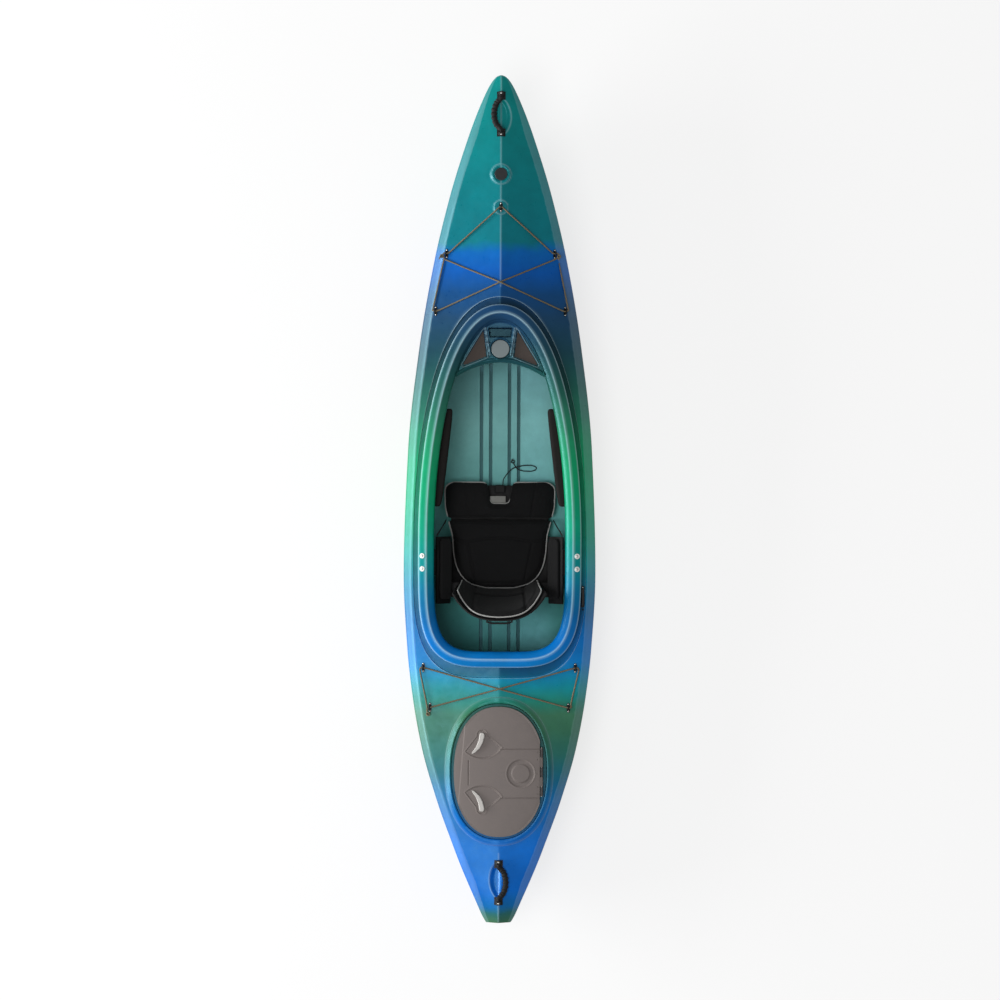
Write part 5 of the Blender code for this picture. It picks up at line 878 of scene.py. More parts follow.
def lid_crown(x, y):
    left = 1 - (x / HATCH_HALF_WIDTH) ** 2 - ((y - HATCH_Y) / HATCH_HALF_LENGTH) ** 2
    return LID_Z + LID_CROWN * np.maximum(left, 0) ** 0.8


def sector_depth(x, y, side):
    """How far inside a latch's sector: within its turn and its reach of the spindle, or by the spindle."""
    east, north = x - LATCH_X, (y - HATCH_Y) * side - LATCH_OFFSET
    away, angle = np.hypot(east, north), np.degrees(np.arctan2(east, -north))
    low, high = -LATCH_LEAN - 9.0, LATCH_SWING - LATCH_LEAN + 10.0
    wedge = np.minimum(angle - low, high - angle) * math.pi / 180 * np.maximum(away, 1e-4)
    wedge = np.where(np.abs(angle) > 120, -away, wedge)
    fan = np.minimum(wedge + 0.010, LATCH_REACH - away)
    return np.maximum(fan, 0.0165 - away)


def lid_height(x, y):
    """The crown less its mouldings: sectors, a ring dish, two panel grooves, a strip and its slot."""
    z = lid_crown(x, y)
    for side in (1, -1):
        depth = sector_depth(x, y, side)
        z = z + 0.0010 * smoothstep(1 - np.abs(depth + 0.0042) / 0.003)
        z = z - 0.0020 * smoothstep(1 - np.abs(depth) / 0.0022)
        z = z + (RECESS_FLOOR_Z - 0.0004 - z) * smoothstep((depth + 0.0006) / 0.0016)
    away = np.hypot(x - RING_X, y - RING_Y)
    z = z - 0.0028 * smoothstep(np.minimum(RING_OUT - away, away - RING_IN) / 0.004)
    z = z + 0.0007 * smoothstep(1 - np.abs(away - RING_OUT - 0.002) / 0.003)
    for line_y in (-0.9426, -1.1232):
        groove = np.abs(y - line_y - (0.002 if line_y > -1 else -0.002)) + 9 * np.maximum(0.006 - x, 0)
        z = z - 0.0022 * smoothstep(1 - groove / 0.0030)
    strip = -0.1415 + 0.08 * (y - HATCH_Y) - x
    z = z - 0.0016 * smoothstep(strip / 0.003)
    slot = np.maximum(np.abs(x + 0.114), np.abs(y + 1.031) - 0.046)
    z = z - 0.0020 * smoothstep(1 - slot / 0.0026)
    for dot_y in (-0.953, -0.9796, -1.0321, -1.083, -1.1096):
        z = z - 0.0022 * smoothstep((0.0026 - np.hypot(x - 0.1475, y - dot_y)) / 0.0014)
    return z


def edge_loop(points):
    """The outer edge of a grid, in order round it."""
    return np.concatenate([points[:-1, 0], points[-1, :-1], points[:0:-1, -1], points[0, :0:-1]])


def knuckle_spans(wanted):
    pitch = 2 * HINGE_HALF / 5
    return [(HATCH_Y - HINGE_HALF + i * pitch + 0.0006, HATCH_Y - HINGE_HALF + (i + 1) * pitch - 0.0006)
            for i in wanted]


cover = Skin()
wide, long = np.meshgrid(np.linspace(-1, 1, 181), np.linspace(-1, 1, 261), indexing="ij")
lid_x, lid_y = lid_plan(wide, long)
top = np.stack([lid_x, lid_y, lid_height(lid_x, lid_y)], axis=2)
cover.grid(top, flip=True)
rim_loop = edge_loop(top)
middle = np.array([0.0, HATCH_Y])


def drawn_in(loop, reach, z):
    """A loop moved in towards the middle by a distance, at a height."""
    flat = loop[:, :2] - middle
    flat = middle + flat * (1 - reach / np.linalg.norm(flat, axis=1))[:, None]
    return np.c_[flat, np.broadcast_to(z, len(loop))]


walls = [rim_loop] + [drawn_in(rim_loop, reach, z) for reach, z in (
    (-0.0002, rim_loop[:, 2] - 0.0012), (0.0, LID_FOOT_Z + 0.001), (0.001, LID_FOOT_Z),
    (0.0035, LID_FOOT_Z), (0.0045, LID_Z - 0.0048))]
for reach in (0.012, 0.05, 0.10):
    ring = drawn_in(rim_loop, reach, 0.0)
    ring[:, 2] = lid_crown(ring[:, 0], ring[:, 1]) - 0.0050
    walls.append(ring)
cover.grid(np.array(walls), closed=True, flip=True)
cover.cap(walls[-1], flip=True)


def barrel(skin, a, b, radii, sides=20):
    """A round bar from a to b with a radius at each of its (share, radius) stops, and closed ends."""
    a, b = np.array(a, float), np.array(b, float)
    run = (b - a) / np.linalg.norm(b - a)
    side = np.cross(run, (0.0, 0.0, 1.0) if abs(run[2]) < 0.9 else (1.0, 0.0, 0.0))
    side /= np.linalg.norm(side)
    other = np.cross(run, side)
    turn = np.linspace(0, 2 * math.pi, sides, endpoint=False)[:, None]
    skin.loft([a + (b - a) * share + radius * (np.cos(turn) * side + np.sin(turn) * other)
               for share, radius in radii])


ROUND_ENDS = ((0, 0.88), (0.02, 1.0), (0.98, 1.0), (1, 0.88))
for low, high in knuckle_spans((1, 3)):
    barrel(cover, (HINGE_X, low, HINGE_Z), (HINGE_X, high, HINGE_Z),
           [(share, KNUCKLE_RADIUS * radius) for share, radius in ROUND_ENDS])
    leaf = ((HINGE_X - 0.016, 0.3030), (HINGE_X, 0.3032), (HINGE_X + 0.002, 0.3060),
            (HINGE_X - 0.016, 0.3068))
    cover.loft([[(x, y, z) for x, z in leaf] for y in (low, high)], flip=True)
lid_plastic = dark_grain("hatch_lid_plastic", (112, 104, 101), 0.55, 520.0, 0.35, 0.0004, 0.07)
hatch_lid = cover.object("hatch_lid", lid_plastic)
placed(hatch_lid, "hatch", "hatch_plastic", "hatch_cover")
dress(dark_grain("hatch_frame_plastic", (70, 66, 66), 0.5, 420.0, 0.3), "hatch_rim")
dress(dark_grain("latch_plastic", (184, 181, 177), 0.42, 600.0, 0.2, 0.0003, 0.05), "hatch_latch_fore",
      "hatch_latch_aft")
dress(dark_grain("gasket_rubber", (38, 38, 38), 0.8, 900.0, 0.5, 0.0004, 0.1), "hatch_gasket")
steel = dark_grain("stainless_steel", (196, 196, 192), 0.28, 1400.0, 0.15, 0.0002, 0.08, 1.0)
dress(steel, "hatch_hinge_rod", "skeg_pin")


# Black fittings
# Injection-moulded nylon with a light texture: brackets, cleat, seat plates, lifter, buckle, rails and
# pedals; drawn steel for the screws; and a glossy plain disc in the badge's seat.
black_nylon = dark_grain("black_nylon", (13, 13, 14), 0.42, 700.0, 0.3, 0.0003, 0.12)
seat_nylon = dark_grain("seat_nylon", (8, 8, 9), 0.68, 700.0, 0.4, 0.0004, 0.12)
dress(seat_nylon, "seat_buckle", "leg_lifter", "seat_back_frame", "seat_side_plate_port",
      "seat_side_plate_starboard")
dress(black_nylon, "skeg_box", "skeg_blade", "skeg_cleat", "bow_pad_eye_centre",
      *[f"foot_{piece}_{side}" for piece in ("rail", "pedal") for side in ("port", "starboard")],
      *[f"{end}_handle_bracket_{place}" for end in ("bow", "stern") for place in ("fore", "aft")],
      *[f"{end}_pad_eye_{place}_{side}" for end in ("bow", "stern") for place in ("fore", "aft")
        for side in ("port", "starboard")])
dress(dark_grain("badge_disc", (44, 44, 46), 0.22, 260.0, 0.12, 0.0004, 0.2), "deck_roundel")
dress(dark_grain("tray_rubber", (66, 58, 54), 0.75, 900.0, 0.6, 0.0004, 0.14), "tray_pad_port",
      "tray_pad_starboard")
dress(dark_grain("puck_plastic", (112, 122, 124), 0.4, 500.0, 0.2, 0.0003, 0.04), "dash_puck")
dress(dark_grain("flotation_foam", (58, 60, 62), 0.95, 240.0, 0.9, 0.0012, 0.15), "rear_bulkhead",
      "bow_foam_block")


# Carry handles
# A ribbed over-moulded grip whose end pins turn in two screwed nylon brackets; it lies over to one
# side above its finger scoop.
HANDLE_HALF_SPAN, HANDLE_AXIS_RISE, HANDLE_REACH, HANDLE_RADIUS = 0.0695, 0.0125, 0.027, 0.0078
GRIP_RIBS, HANDLES = 16.5, (("bow", 1.452, -1), ("stern", -1.447, 1))
HANDLE_COURSE = ((0, 0), (0.04, 0), (0.088, 0.10), (0.15, 0.40), (0.22, 0.68), (0.35, 0.92), (0.5, 1),
                 (0.65, 0.92), (0.78, 0.68), (0.85, 0.40), (0.912, 0.10), (0.96, 0), (1, 0))


def smooth_route(points, steps):
    """A curve through the points: on each stretch the cubic whose slope at a point is half the step
    between its neighbours."""
    p = np.array(points, float)
    p = np.vstack([2 * p[0] - p[1], p, 2 * p[-1] - p[-2]])
    t = np.linspace(0, 1, steps, endpoint=False)[None, :, None]
    a, b, c, e = (p[i:len(p) - 3 + i, None] for i in range(4))
    run = b + t * (c - a) / 2 + t**2 * (a - 2.5 * b + 2 * c - e / 2) + t**3 * (-a + 3 * b - 3 * c + e) / 2
    return np.vstack([run.reshape(-1, 3), p[-2]])


def tube(name, path, radius, material, sides=12, swell=1.0, broad=1.0):
    """Rings round a path, closed at both ends and broadened sideways by a share; the UV map holds metres
    along it and turns round it."""
    path = np.array(path, float)
    count = len(path)
    tangent = np.gradient(path, axis=0)
    tangent /= np.linalg.norm(tangent, axis=1)[:, None]
    side = np.cross(tangent, (0.0, 0.0, 1.0))
    side /= np.linalg.norm(side, axis=1)[:, None]
    down = np.cross(tangent, side)
    size = radius * np.broadcast_to(swell, count).astype(float)
    size[[0, -1]] *= 0.6
    turn = np.linspace(0, 2 * math.pi, sides, endpoint=False)[None, :, None]
    rings = path[:, None] + size[:, None, None] * (broad * np.cos(turn) * side[:, None]
                                                        + np.sin(turn) * down[:, None])
    length = run_along(path)
    quads = grid_faces(count, sides, 0, closed=True)
    i = np.arange(sides)
    start = np.stack([(i + 1) % sides, i, np.full(sides, count * sides)], axis=1)
    last = (count - 1) * sides
    end = np.stack([last + i, last + (i + 1) % sides, np.full(sides, count * sides + 1)], axis=1)
    points = np.vstack([rings.reshape(-1, 3), path[0], path[-1]])
    mesh = bpy.data.meshes.new(name)
    mesh.from_pydata(points.tolist(), [], quads.tolist() + start.tolist() + end.tolist())
    row, column = np.meshgrid(np.arange(count - 1), np.arange(sides), indexing="ij")
    corners = [(row, column), (row, column + 1), (row + 1, column + 1), (row + 1, column)]
    quad_uv = [np.stack([length[r], c / sides], axis=-1) for r, c in corners]
    quad_uv = np.stack(quad_uv, axis=2).reshape(-1, 2)
    ends = [np.stack([np.full(sides * 3, at), np.tile([0, 0.1, 0.05], sides)], axis=1)
            for at in length[[0, -1]]]
    layer = mesh.uv_layers.new(name="along_and_round")
    layer.data.foreach_set("uv", np.vstack([quad_uv, *ends]).ravel())
    mesh.shade_smooth()
    mesh.materials.append(material)
    return in_scene(name, mesh)


grip_rubber = dark_grain("grip_rubber", (15, 15, 16), 0.6, 900.0, 0.5, 0.0003, 0.15)
for end, middle_y, side in HANDLES:
    front, back = (np.array([0, y, ridge(y) + HANDLE_AXIS_RISE]) for y in
                   (middle_y + HANDLE_HALF_SPAN, middle_y - HANDLE_HALF_SPAN))
    rest = plain_deck(np.array(HANDLE_REACH), middle_y) + HANDLE_RADIUS + 0.0018
    reach = np.array([side * HANDLE_REACH, 0, rest - (front[2] + back[2]) / 2])
    course = smooth_route([front + (back - front) * share + reach * out for share, out in HANDLE_COURSE], 16)
    share = np.linspace(0, 1, len(course))
    ribbed = (share > 0.22) & (share < 0.78)
    ribs = 1.0 + 0.08 * np.clip(np.sin(share * 2 * math.pi * GRIP_RIBS) * 2.2, -1, 1)
    swell = np.where(ribbed, ribs, 0.86 + 0.05 * np.cos(share * 6.28))
    swell = np.where((share < 0.10) | (share > 0.90), 0.55, swell)
    grip = tube(f"{end}_grip", course, HANDLE_RADIUS, grip_rubber, 20, swell, 1.35)
    placed(grip, f"{end}_handle", "black_nylon", f"{end}_handle_grip")

# Shock cords
# Elastic cord in a braided sleeve, 5.6 mm thick: the front one laced through five pad eyes and tied off at
# the two forward ones, the rear one laced through four, its tail tied at the after eye.
SHOCK_CORD_RADIUS = 0.0028
BOW_CORD_ROUTE = ((-0.2246, 0.919, 0.2908), (-0.2192, 0.925, 0.2934), (-0.2134, 0.9331, 0.2951),
                  (-0.1965, 0.9331, 0.3013), (-0.162, 0.9631, 0.3144), (-0.1275, 0.993, 0.3274),
                  (-0.093, 1.023, 0.3405), (-0.0585, 1.053, 0.3536), (-0.024, 1.083, 0.3666),
                  (-0.009, 1.097, 0.3661), (0, 1.102, 0.3661), (0.009, 1.097, 0.3661),
                  (0.024, 1.083, 0.3666), (0.0585, 1.053, 0.3536), (0.093, 1.023, 0.3405),
                  (0.1275, 0.993, 0.3274), (0.162, 0.9631, 0.3144), (0.1965, 0.9331, 0.3013),
                  (0.2134, 0.9331, 0.2951), (0.2195, 0.926, 0.2928), (0.2161, 0.9175, 0.2951),
                  (0.2053, 0.9095, 0.299), (0.1423, 0.8818, 0.3199), (0.0794, 0.8542, 0.3444),
                  (0.022, 0.829, 0.3673), (0.0066, 0.8223, 0.3735), (-0.0066, 0.8165, 0.3736),
                  (-0.022, 0.8097, 0.3678), (-0.0466, 0.7989, 0.3584), (-0.1095, 0.7713, 0.3339),
                  (-0.1725, 0.7436, 0.3092), (-0.2355, 0.716, 0.2865), (-0.2522, 0.715, 0.28),
                  (-0.2566, 0.721, 0.2788), (-0.2541, 0.73, 0.2792), (-0.2153, 0.904, 0.2943),
                  (-0.2093, 0.9075, 0.297), (-0.1458, 0.8801, 0.3186), (-0.0823, 0.8528, 0.3434),
                  (-0.022, 0.8269, 0.3703), (-0.0066, 0.8202, 0.3786), (0.0066, 0.8145, 0.38),
                  (0.022, 0.8079, 0.374), (0.0448, 0.7981, 0.3625), (0.1084, 0.7707, 0.3344),
                  (0.1719, 0.7434, 0.3094), (0.2355, 0.716, 0.2865), (0.2522, 0.715, 0.28),
                  (0.2566, 0.721, 0.2788), (0.2541, 0.732, 0.2792), (0.2204, 0.896, 0.2923))
STERN_CORD_ROUTE = ((-0.2685, -0.8169, 0.2679), (-0.2715, -0.8059, 0.268), (-0.274, -0.7949, 0.2671),
                    (-0.2735, -0.7809, 0.267), (-0.299, -0.6559, 0.2627), (-0.3, -0.6409, 0.2624),
                    (-0.2946, -0.6359, 0.2629), (-0.2766, -0.6389, 0.2646), (-0.2013, -0.6596, 0.2703),
                    (-0.126, -0.6803, 0.2775), (-0.0507, -0.701, 0.2845), (-0.0231, -0.7086, 0.287),
                    (-0.0069, -0.7131, 0.2885), (0.0069, -0.7169, 0.2885), (0.0231, -0.7213, 0.2871),
                    (0.0999, -0.7425, 0.2802), (0.1753, -0.7632, 0.2737), (0.2506, -0.7839, 0.269),
                    (0.2685, -0.7869, 0.2675), (0.274, -0.7819, 0.2669), (0.273, -0.7669, 0.2668),
                    (0.299, -0.6559, 0.2627), (0.3, -0.6409, 0.2624), (0.2946, -0.6359, 0.2629),
                    (0.2766, -0.6389, 0.2646), (0.2013, -0.6596, 0.2703), (0.126, -0.6803, 0.2775),
                    (0.0507, -0.701, 0.288), (0.0231, -0.7086, 0.2933), (0.0069, -0.7131, 0.2949),
                    (-0.0069, -0.7169, 0.294), (-0.0231, -0.7213, 0.2907), (-0.0999, -0.7425, 0.2802),
                    (-0.1753, -0.7632, 0.2737), (-0.2506, -0.7839, 0.269), (-0.2576, -0.7849, 0.2684))


def braided(name, dark, light, strands=8, pitch=0.009):
    """A braided sleeve from the tube's UV map: two sets of bands wound opposite ways, whose crossings
    give the colour and the bumps."""
    material, tree, shader = surface_of(name, Roughness=0.8)
    place = node(tree, "UVMap", uv_map="along_and_round")
    cross = node(tree, "Math", operation="MAXIMUM")
    for side, turn in ((0, 1), (1, -1)):
        spread = node(tree, "Mapping", Scale=(0.6283 / pitch, 0.6283 * strands * turn, 1.0))
        bands = node(tree, "TexWave", bands_direction="DIAGONAL", Scale=1.0)
        wire(tree, place, "UV", spread, "Vector", spread, 0, bands, "Vector", bands, "Fac", cross, side)
    shade = node(tree, "Mix", data_type="RGBA", A=linear(dark), B=linear(light))
    bump = node(tree, "Bump", Strength=0.8, Distance=0.0005)
    wire(tree, cross, 0, shade, "Factor", shade, "Result", shader, "Base Color",
         cross, 0, bump, "Height", bump, 0, shader, "Normal")
    return material


def knot_route(place, tail, lift):
    """An overhand knot: one and a half small turns round the cord's end, then a short tail."""
    turn = np.linspace(0, 3 * math.pi, 19)
    x, y, z = place
    coil = np.stack([x + 0.0058 * np.cos(turn), y + 0.0052 * np.sin(turn),
                     z + lift + 0.0022 * np.sin(turn * 1.5)], axis=1)
    return np.vstack([coil, coil[-1] + np.array(tail) * 0.5, coil[-1] + np.array(tail)])


cord_sleeve = braided("shock_cord_sleeve", (70, 62, 46), (122, 112, 88))
BOW_KNOTS = (((-0.2215, 0.9215, 0.2955), (-0.006, -0.014, 0.0)),
             ((0.2205, 0.9205, 0.2950), (0.006, -0.014, 0.0)))
STERN_KNOTS = (((-0.2688, -0.8120, 0.2690), (0.006, -0.0035, -0.002)),)
for name, course, knots in (("bow_shock_cord", BOW_CORD_ROUTE, BOW_KNOTS),
                            ("stern_shock_cord", STERN_CORD_ROUTE, STERN_KNOTS)):
    cord = tube(name, smooth_route(course, 4), SHOCK_CORD_RADIUS, cord_sleeve, 10)
    placed(cord, "kayak", "shock_cord", name.replace("shock_cord", "bungee"))
    for number, (place, tail) in enumerate(knots, 1):
        knot = tube(f"{name}_knot_{number}", smooth_route(knot_route(place, tail, 0.0035), 2), 0.0026,
                    cord_sleeve, 10)
        placed(knot, "kayak", "shock_cord")

# Rivets, screws and washers
# Domed stainless rivets through both feet of each pad eye, countersunk screws in the brackets and the
# cleat, and white nylon washers under the seat screws' heads.
PAD_EYES = ((0, 1.101, 0.36, 0, 0, 1),
            (0.2038, 0.93, 0.2921, 0.3476, -0.0032, 0.9376),
            (0.2444, 0.714, 0.2764, 0.3636, 0.0003, 0.9315),
            (0.288, -0.636, 0.2573, 0.0944, 0.0141, 0.9954),
            (0.262, -0.787, 0.2619, 0.0864, 0.015, 0.9961))
EYE_FOOT, EYE_PLATE, WASHER_RADIUS = 0.0138, 0.0032, 0.0100
CLEAT_SCREWS = ((0.3154, -0.332, 0.2527), (0.3154, -0.398, 0.2527))
RIVET_HEAD, CLEAT_HEAD, BRACKET_HEAD, HEAD_RISE = 0.0029, 0.0034, 0.0036, 0.0016
SEAT_SCREW_PLACES, SEAT_SCREW_OUT, RIM_SLOPE = (-0.212, -0.261), 0.044, 0.34


def on_plane(up):
    """Two directions square to a surface's upward one: across the hull and along it."""
    up = np.array(up) / np.linalg.norm(up)
    along_hull = np.cross(up, (1.0, 0.0, 0.0))
    along_hull /= np.linalg.norm(along_hull)
    return np.cross(along_hull, up), along_hull, up


fixings = Skin()
DOME = ((0, 1.0), (0.35, 0.97), (0.7, 0.75), (0.92, 0.42), (1, 0.12))
heads = []
for x, y, z, up_x, up_y, up_z in PAD_EYES:
    for sign in ((1, -1) if x else (1,)):
        up = (up_x * sign, up_y, up_z)
        ahead = on_plane(up)[1]
        for foot in (EYE_FOOT, -EYE_FOOT):
            place = np.array([x * sign, y, z]) + ahead * foot + np.array(up) * EYE_PLATE * 0.92
            heads.append((place, up, RIVET_HEAD))
for x, y, z in CLEAT_SCREWS:
    heads.append((np.array([x, y, z]), (0.0, 0.0, 1.0), CLEAT_HEAD))
for _, middle_y, _ in HANDLES:
    for side in (1, -1):
        y = middle_y + side * (HANDLE_HALF_SPAN + 0.0085)
        heads.append((np.array([0.0, y, ridge(y) + 0.0188]), (0.0, 0.0, 1.0), BRACKET_HEAD))
for place, up, radius in heads:
    tip = place + np.array(up) * HEAD_RISE
    barrel(fixings, place, tip, [(share, radius * size) for share, size in DOME], 16)
rivets = fixings.object("steel_rivets", steel)
placed(rivets, "kayak", "stainless_steel")
screws, screw_washers = Skin(), Skin()
flange = ((0, 0.94), (0.25, 1.0), (0.75, 1.0), (1, 0.9))
for side in (1, -1):
    for y in SEAT_SCREW_PLACES:
        place = np.array([side * (rim_inside(y) + SEAT_SCREW_OUT), y, float(rim_height(y)) - 0.0040])
        up = np.array([side * RIM_SLOPE, 0.0, 1.0]) / math.hypot(RIM_SLOPE, 1.0)
        barrel(screw_washers, place, place + up * 0.0026, [(s, WASHER_RADIUS * r) for s, r in flange], 28)
        barrel(screws, place - up * 0.016, place + up * 0.0024, [(0, 0.0022), (1, 0.0022)], 10)
        barrel(screws, place + up * 0.0024, place + up * 0.0052, [(s, 0.0050 * r) for s, r in DOME], 16)
seat_screws = screws.object("seat_screws", steel, sharp=40)
placed(seat_screws, "kayak", "stainless_steel",
       *[f"seat_screw_{row}_{side}" for row in ("fore", "aft") for side in ("port", "starboard")])
white_nylon = dark_grain("white_nylon", (232, 232, 228), 0.5, 500.0, 0.1, 0.0002, 0.03)
washers = screw_washers.object("seat_screw_washers", white_nylon)
placed(washers, "kayak", "latch_plastic")


# Seat cushions
# Black woven covers over foam: the base, the thigh lift in front of it with a notch for its buckle,
# and the wrapped backrest; blown up as sewn bags, then stitched down along their panels.
SEAT_HALF_WIDTH = smooth_through(((-0.340, 0.050), (-0.320, 0.118), (-0.285, 0.155), (-0.245, 0.173),
                                  (-0.200, 0.1815), (-0.140, 0.186), (-0.100, 0.196), (-0.060, 0.206),
                                  (-0.020, 0.214), (0.035, 0.2155), (0.070, 0.205)))
SEAT_BACK_Y, SEAT_JOIN_Y, SEAT_FRONT_Y, SEAT_GAP = -0.338, -0.073, 0.068, 0.0026
NOTCH_HALF, NOTCH_DEPTH, SEAT_BASE_Z, LIFT_BASE_Z, SEAM_RISE = 0.043, 0.082, 0.0564, 0.0608, 0.014
PANEL_LINE = ((-0.094, -0.319), (-0.126, -0.161), (-0.060, -0.149), (0.0, -0.1455), (0.060, -0.149),
              (0.126, -0.161), (0.094, -0.319), (-0.094, -0.319))


def woven(name, colour, thread=0.0016, axes=("X", "Y"), rough=0.85, vary=0.3, strength=0.5):
    """Cloth of two sets of threads at right angles, the higher one showing, on the object's coordinates,
    with slow wrinkles and a little dust in the colour."""
    material, tree, shader = surface_of(name, Roughness=rough, Specular_IOR_Level=0.2, Sheen_Weight=0.04)
    place = node(tree, "TexCoord")
    over = node(tree, "Math", operation="MAXIMUM")
    for socket, axis in enumerate(axes):
        threads = node(tree, "TexWave", bands_direction=axis, Scale=0.314 / thread, Distortion=0.6)
        wire(tree, place, "Object", threads, "Vector", threads, "Fac", over, socket)
    dust = node(tree, "TexNoise", Scale=26.0, Detail=7.0, Roughness=0.7)
    shade = shades(tree, colour, vary)
    fine = node(tree, "Bump", Strength=strength, Distance=0.0004)
    wrinkles = node(tree, "TexNoise", Scale=16.0, Detail=3.0)
    creased = node(tree, "Bump", Strength=0.35, Distance=0.004)
    wire(tree, place, "Object", dust, "Vector", dust, "Fac", shade, "Factor",
         shade, "Result", shader, "Base Color", place, "Object", wrinkles, "Vector",
         wrinkles, "Fac", creased, "Height", over, 0, fine, "Height", creased, 0, fine, "Normal",
         fine, 0, shader, "Normal")
    return material


def settled(pad, mesh):
    """Puts a finished mesh in a pad and drops its modifiers."""
    pad.modifiers.clear()
    materials = list(pad.data.materials)
    pad.data = mesh
    if not mesh.materials:
        for material in materials:
            mesh.materials.append(material)
    mesh.shade_smooth()


def evaluated(pad):
    held = pad.evaluated_get(bpy.context.evaluated_depsgraph_get())
    return bpy.data.meshes.new_from_object(held)


CLOTH_PRESSURE, CLOTH_FRAMES, PUSHED_IN, SIDEWAYS_SHARE = 4.0, 20, 0.0008, 0.15


def puffed(pad, cap, voxel=0.005):
    """Blows a pad up as a bag: an even remesh, then twenty frames of cloth under pressure without weight,
    then one subdivision. No point moves out further than the cap, and hardly any moves in, because the
    filling holds the edges out."""
    even = pad.modifiers.new("even", "REMESH")
    even.mode, even.voxel_size = "VOXEL", voxel
    settled(pad, evaluated(pad))
    before = np.array([v.co for v in pad.data.vertices])
    normal = np.array([v.normal for v in pad.data.vertices])
    cloth = pad.modifiers.new("cloth", "CLOTH")
    cloth.settings.use_pressure = True
    cloth.settings.uniform_pressure_force = CLOTH_PRESSURE
    cloth.settings.effector_weights.gravity = 0.0
    cloth.point_cache.frame_end = CLOTH_FRAMES
    for frame_number in range(1, CLOTH_FRAMES + 1):
        scene.frame_set(frame_number)
    blown = evaluated(pad)
    scene.frame_set(1)
    move = np.array([v.co for v in blown.vertices]) - before
    out = (move * normal).sum(axis=1)
    move = (SIDEWAYS_SHARE * (move - normal * out[:, None])
            + normal * np.clip(out, -PUSHED_IN, cap)[:, None])
    blown.vertices.foreach_set("co", (before + move).ravel())
    settled(pad, blown)
    smooth = pad.modifiers.new("smooth", "SUBSURF")
    smooth.levels = smooth.render_levels = 1
    settled(pad, evaluated(pad))


def stitched(pad, depth, away):
    """Pulls the side of a pad that faces a direction in along its seams, by a depth at each point."""
    count = len(pad.data.vertices)
    points, normals = np.empty(count * 3, np.float32), np.empty(count * 3, np.float32)
    pad.data.vertices.foreach_get("co", points)
    pad.data.vertices.foreach_get("normal", normals)
    points, normals = points.reshape(-1, 3).astype(float), normals.reshape(-1, 3)
    facing = smoothstep((normals @ np.array(away) - 0.15) / 0.5)
    points -= np.array(away) * (depth(*points.T) * facing)[:, None]
    pad.data.vertices.foreach_set("co", points.ravel())
    pad.data.update()


def bag(name, plan, base, rise, crown, material, counts=(72, 56)):
    """A closed pad over a patch: from a seam round its edge the top swells by the root of one less the
    sixth powers, with a crown of one less the squares, and the underside tucks down to a flat."""
    u, v = np.meshgrid(eased(counts[0]), 0.5 + 0.5 * eased(counts[1]), indexing="ij")
    x, y = plan(u, v)
    full = np.sqrt(np.clip(1 - u**6, 0, 1) * np.clip(1 - (2 * v - 1) ** 6, 0, 1))
    top = base + SEAM_RISE + rise * full + crown * (1 - u * u) * (1 - (2 * v - 1) ** 2)
    under = base + SEAM_RISE - SEAM_RISE * np.minimum(1, 2.2 * full)
    made = Skin()
    made.grid(np.stack([x, y, top], axis=2), flip=True)
    made.grid(np.stack([x, y, under], axis=2))
    return made.object(name, material, sharp=180)


def base_plan(u, v):
    y = SEAT_BACK_Y + (SEAT_JOIN_Y - SEAT_GAP - SEAT_BACK_Y) * v
    return u * (SEAT_HALF_WIDTH(y) - 0.004), y


def lift_plan(u, v):
    low = SEAT_JOIN_Y + SEAT_GAP
    notch = 1 / (1 + np.exp((np.abs(u * 0.21) - NOTCH_HALF - 0.002) / 0.004))
    round_corner = 0.016 * np.clip((np.abs(u) - 0.86) / 0.14, 0, 1) ** 2.5
    y = low + (SEAT_FRONT_Y - round_corner - NOTCH_DEPTH * notch - low) * v
    return u * (SEAT_HALF_WIDTH(y) - 0.004), y


def from_lines(x, y, line):
    return np.min([from_line(x, y, a, b) for a, b in zip(line, line[1:])], axis=0)


def base_seams(x, y, z):
    side = np.minimum(from_line(np.abs(x), y, (0.126, -0.161), (0.178, -0.154)), 1.0)
    near = np.minimum(from_lines(x, y, PANEL_LINE), side)
    return 0.0055 * np.exp(-(near / 0.0045) ** 2)


def lift_seams(x, y, z):
    return 0.0035 * np.exp(-((np.abs(x) - 0.125 - 0.15 * (y + 0.03)) / 0.005) ** 2)


seat_cloth = woven("seat_cloth", (17, 17, 18))
seat_base_pad = bag("seat_base_pad", base_plan, SEAT_BASE_Z, 0.019, 0.006, seat_cloth)
puffed(seat_base_pad, 0.005)
stitched(seat_base_pad, base_seams, (0.0, 0.0, 1.0))
placed(seat_base_pad, "kayak", "seat_fabric", "seat_cushion")
thigh_lift_pad = bag("thigh_lift_pad", lift_plan, LIFT_BASE_Z, 0.018, 0.005, seat_cloth, (120, 36))
puffed(thigh_lift_pad, 0.004, 0.004)
stitched(thigh_lift_pad, lift_seams, (0.0, 0.0, 1.0))
placed(thigh_lift_pad, "leg_lifter", "seat_fabric", "seat_front_cushion")

# Backrest
# A wrapped padded panel on a stiff shell, with three sewn panels, that tilts with its frame.
BACK_LOW, BACK_HIGH = (0.150, -0.352, 0.105, 0.045), (0.1755, -0.452, 0.352, 0.100)
BACK_SEAM_OUT, BACK_FULL_OUT, BACK_CLEAR_OUT, BACK_CORNER_DROP = 0.009, 0.024, 0.0012, 0.20
BACK_FACING, BACK_EDGE = np.array([0.0, 0.958, 0.287]), 0.985


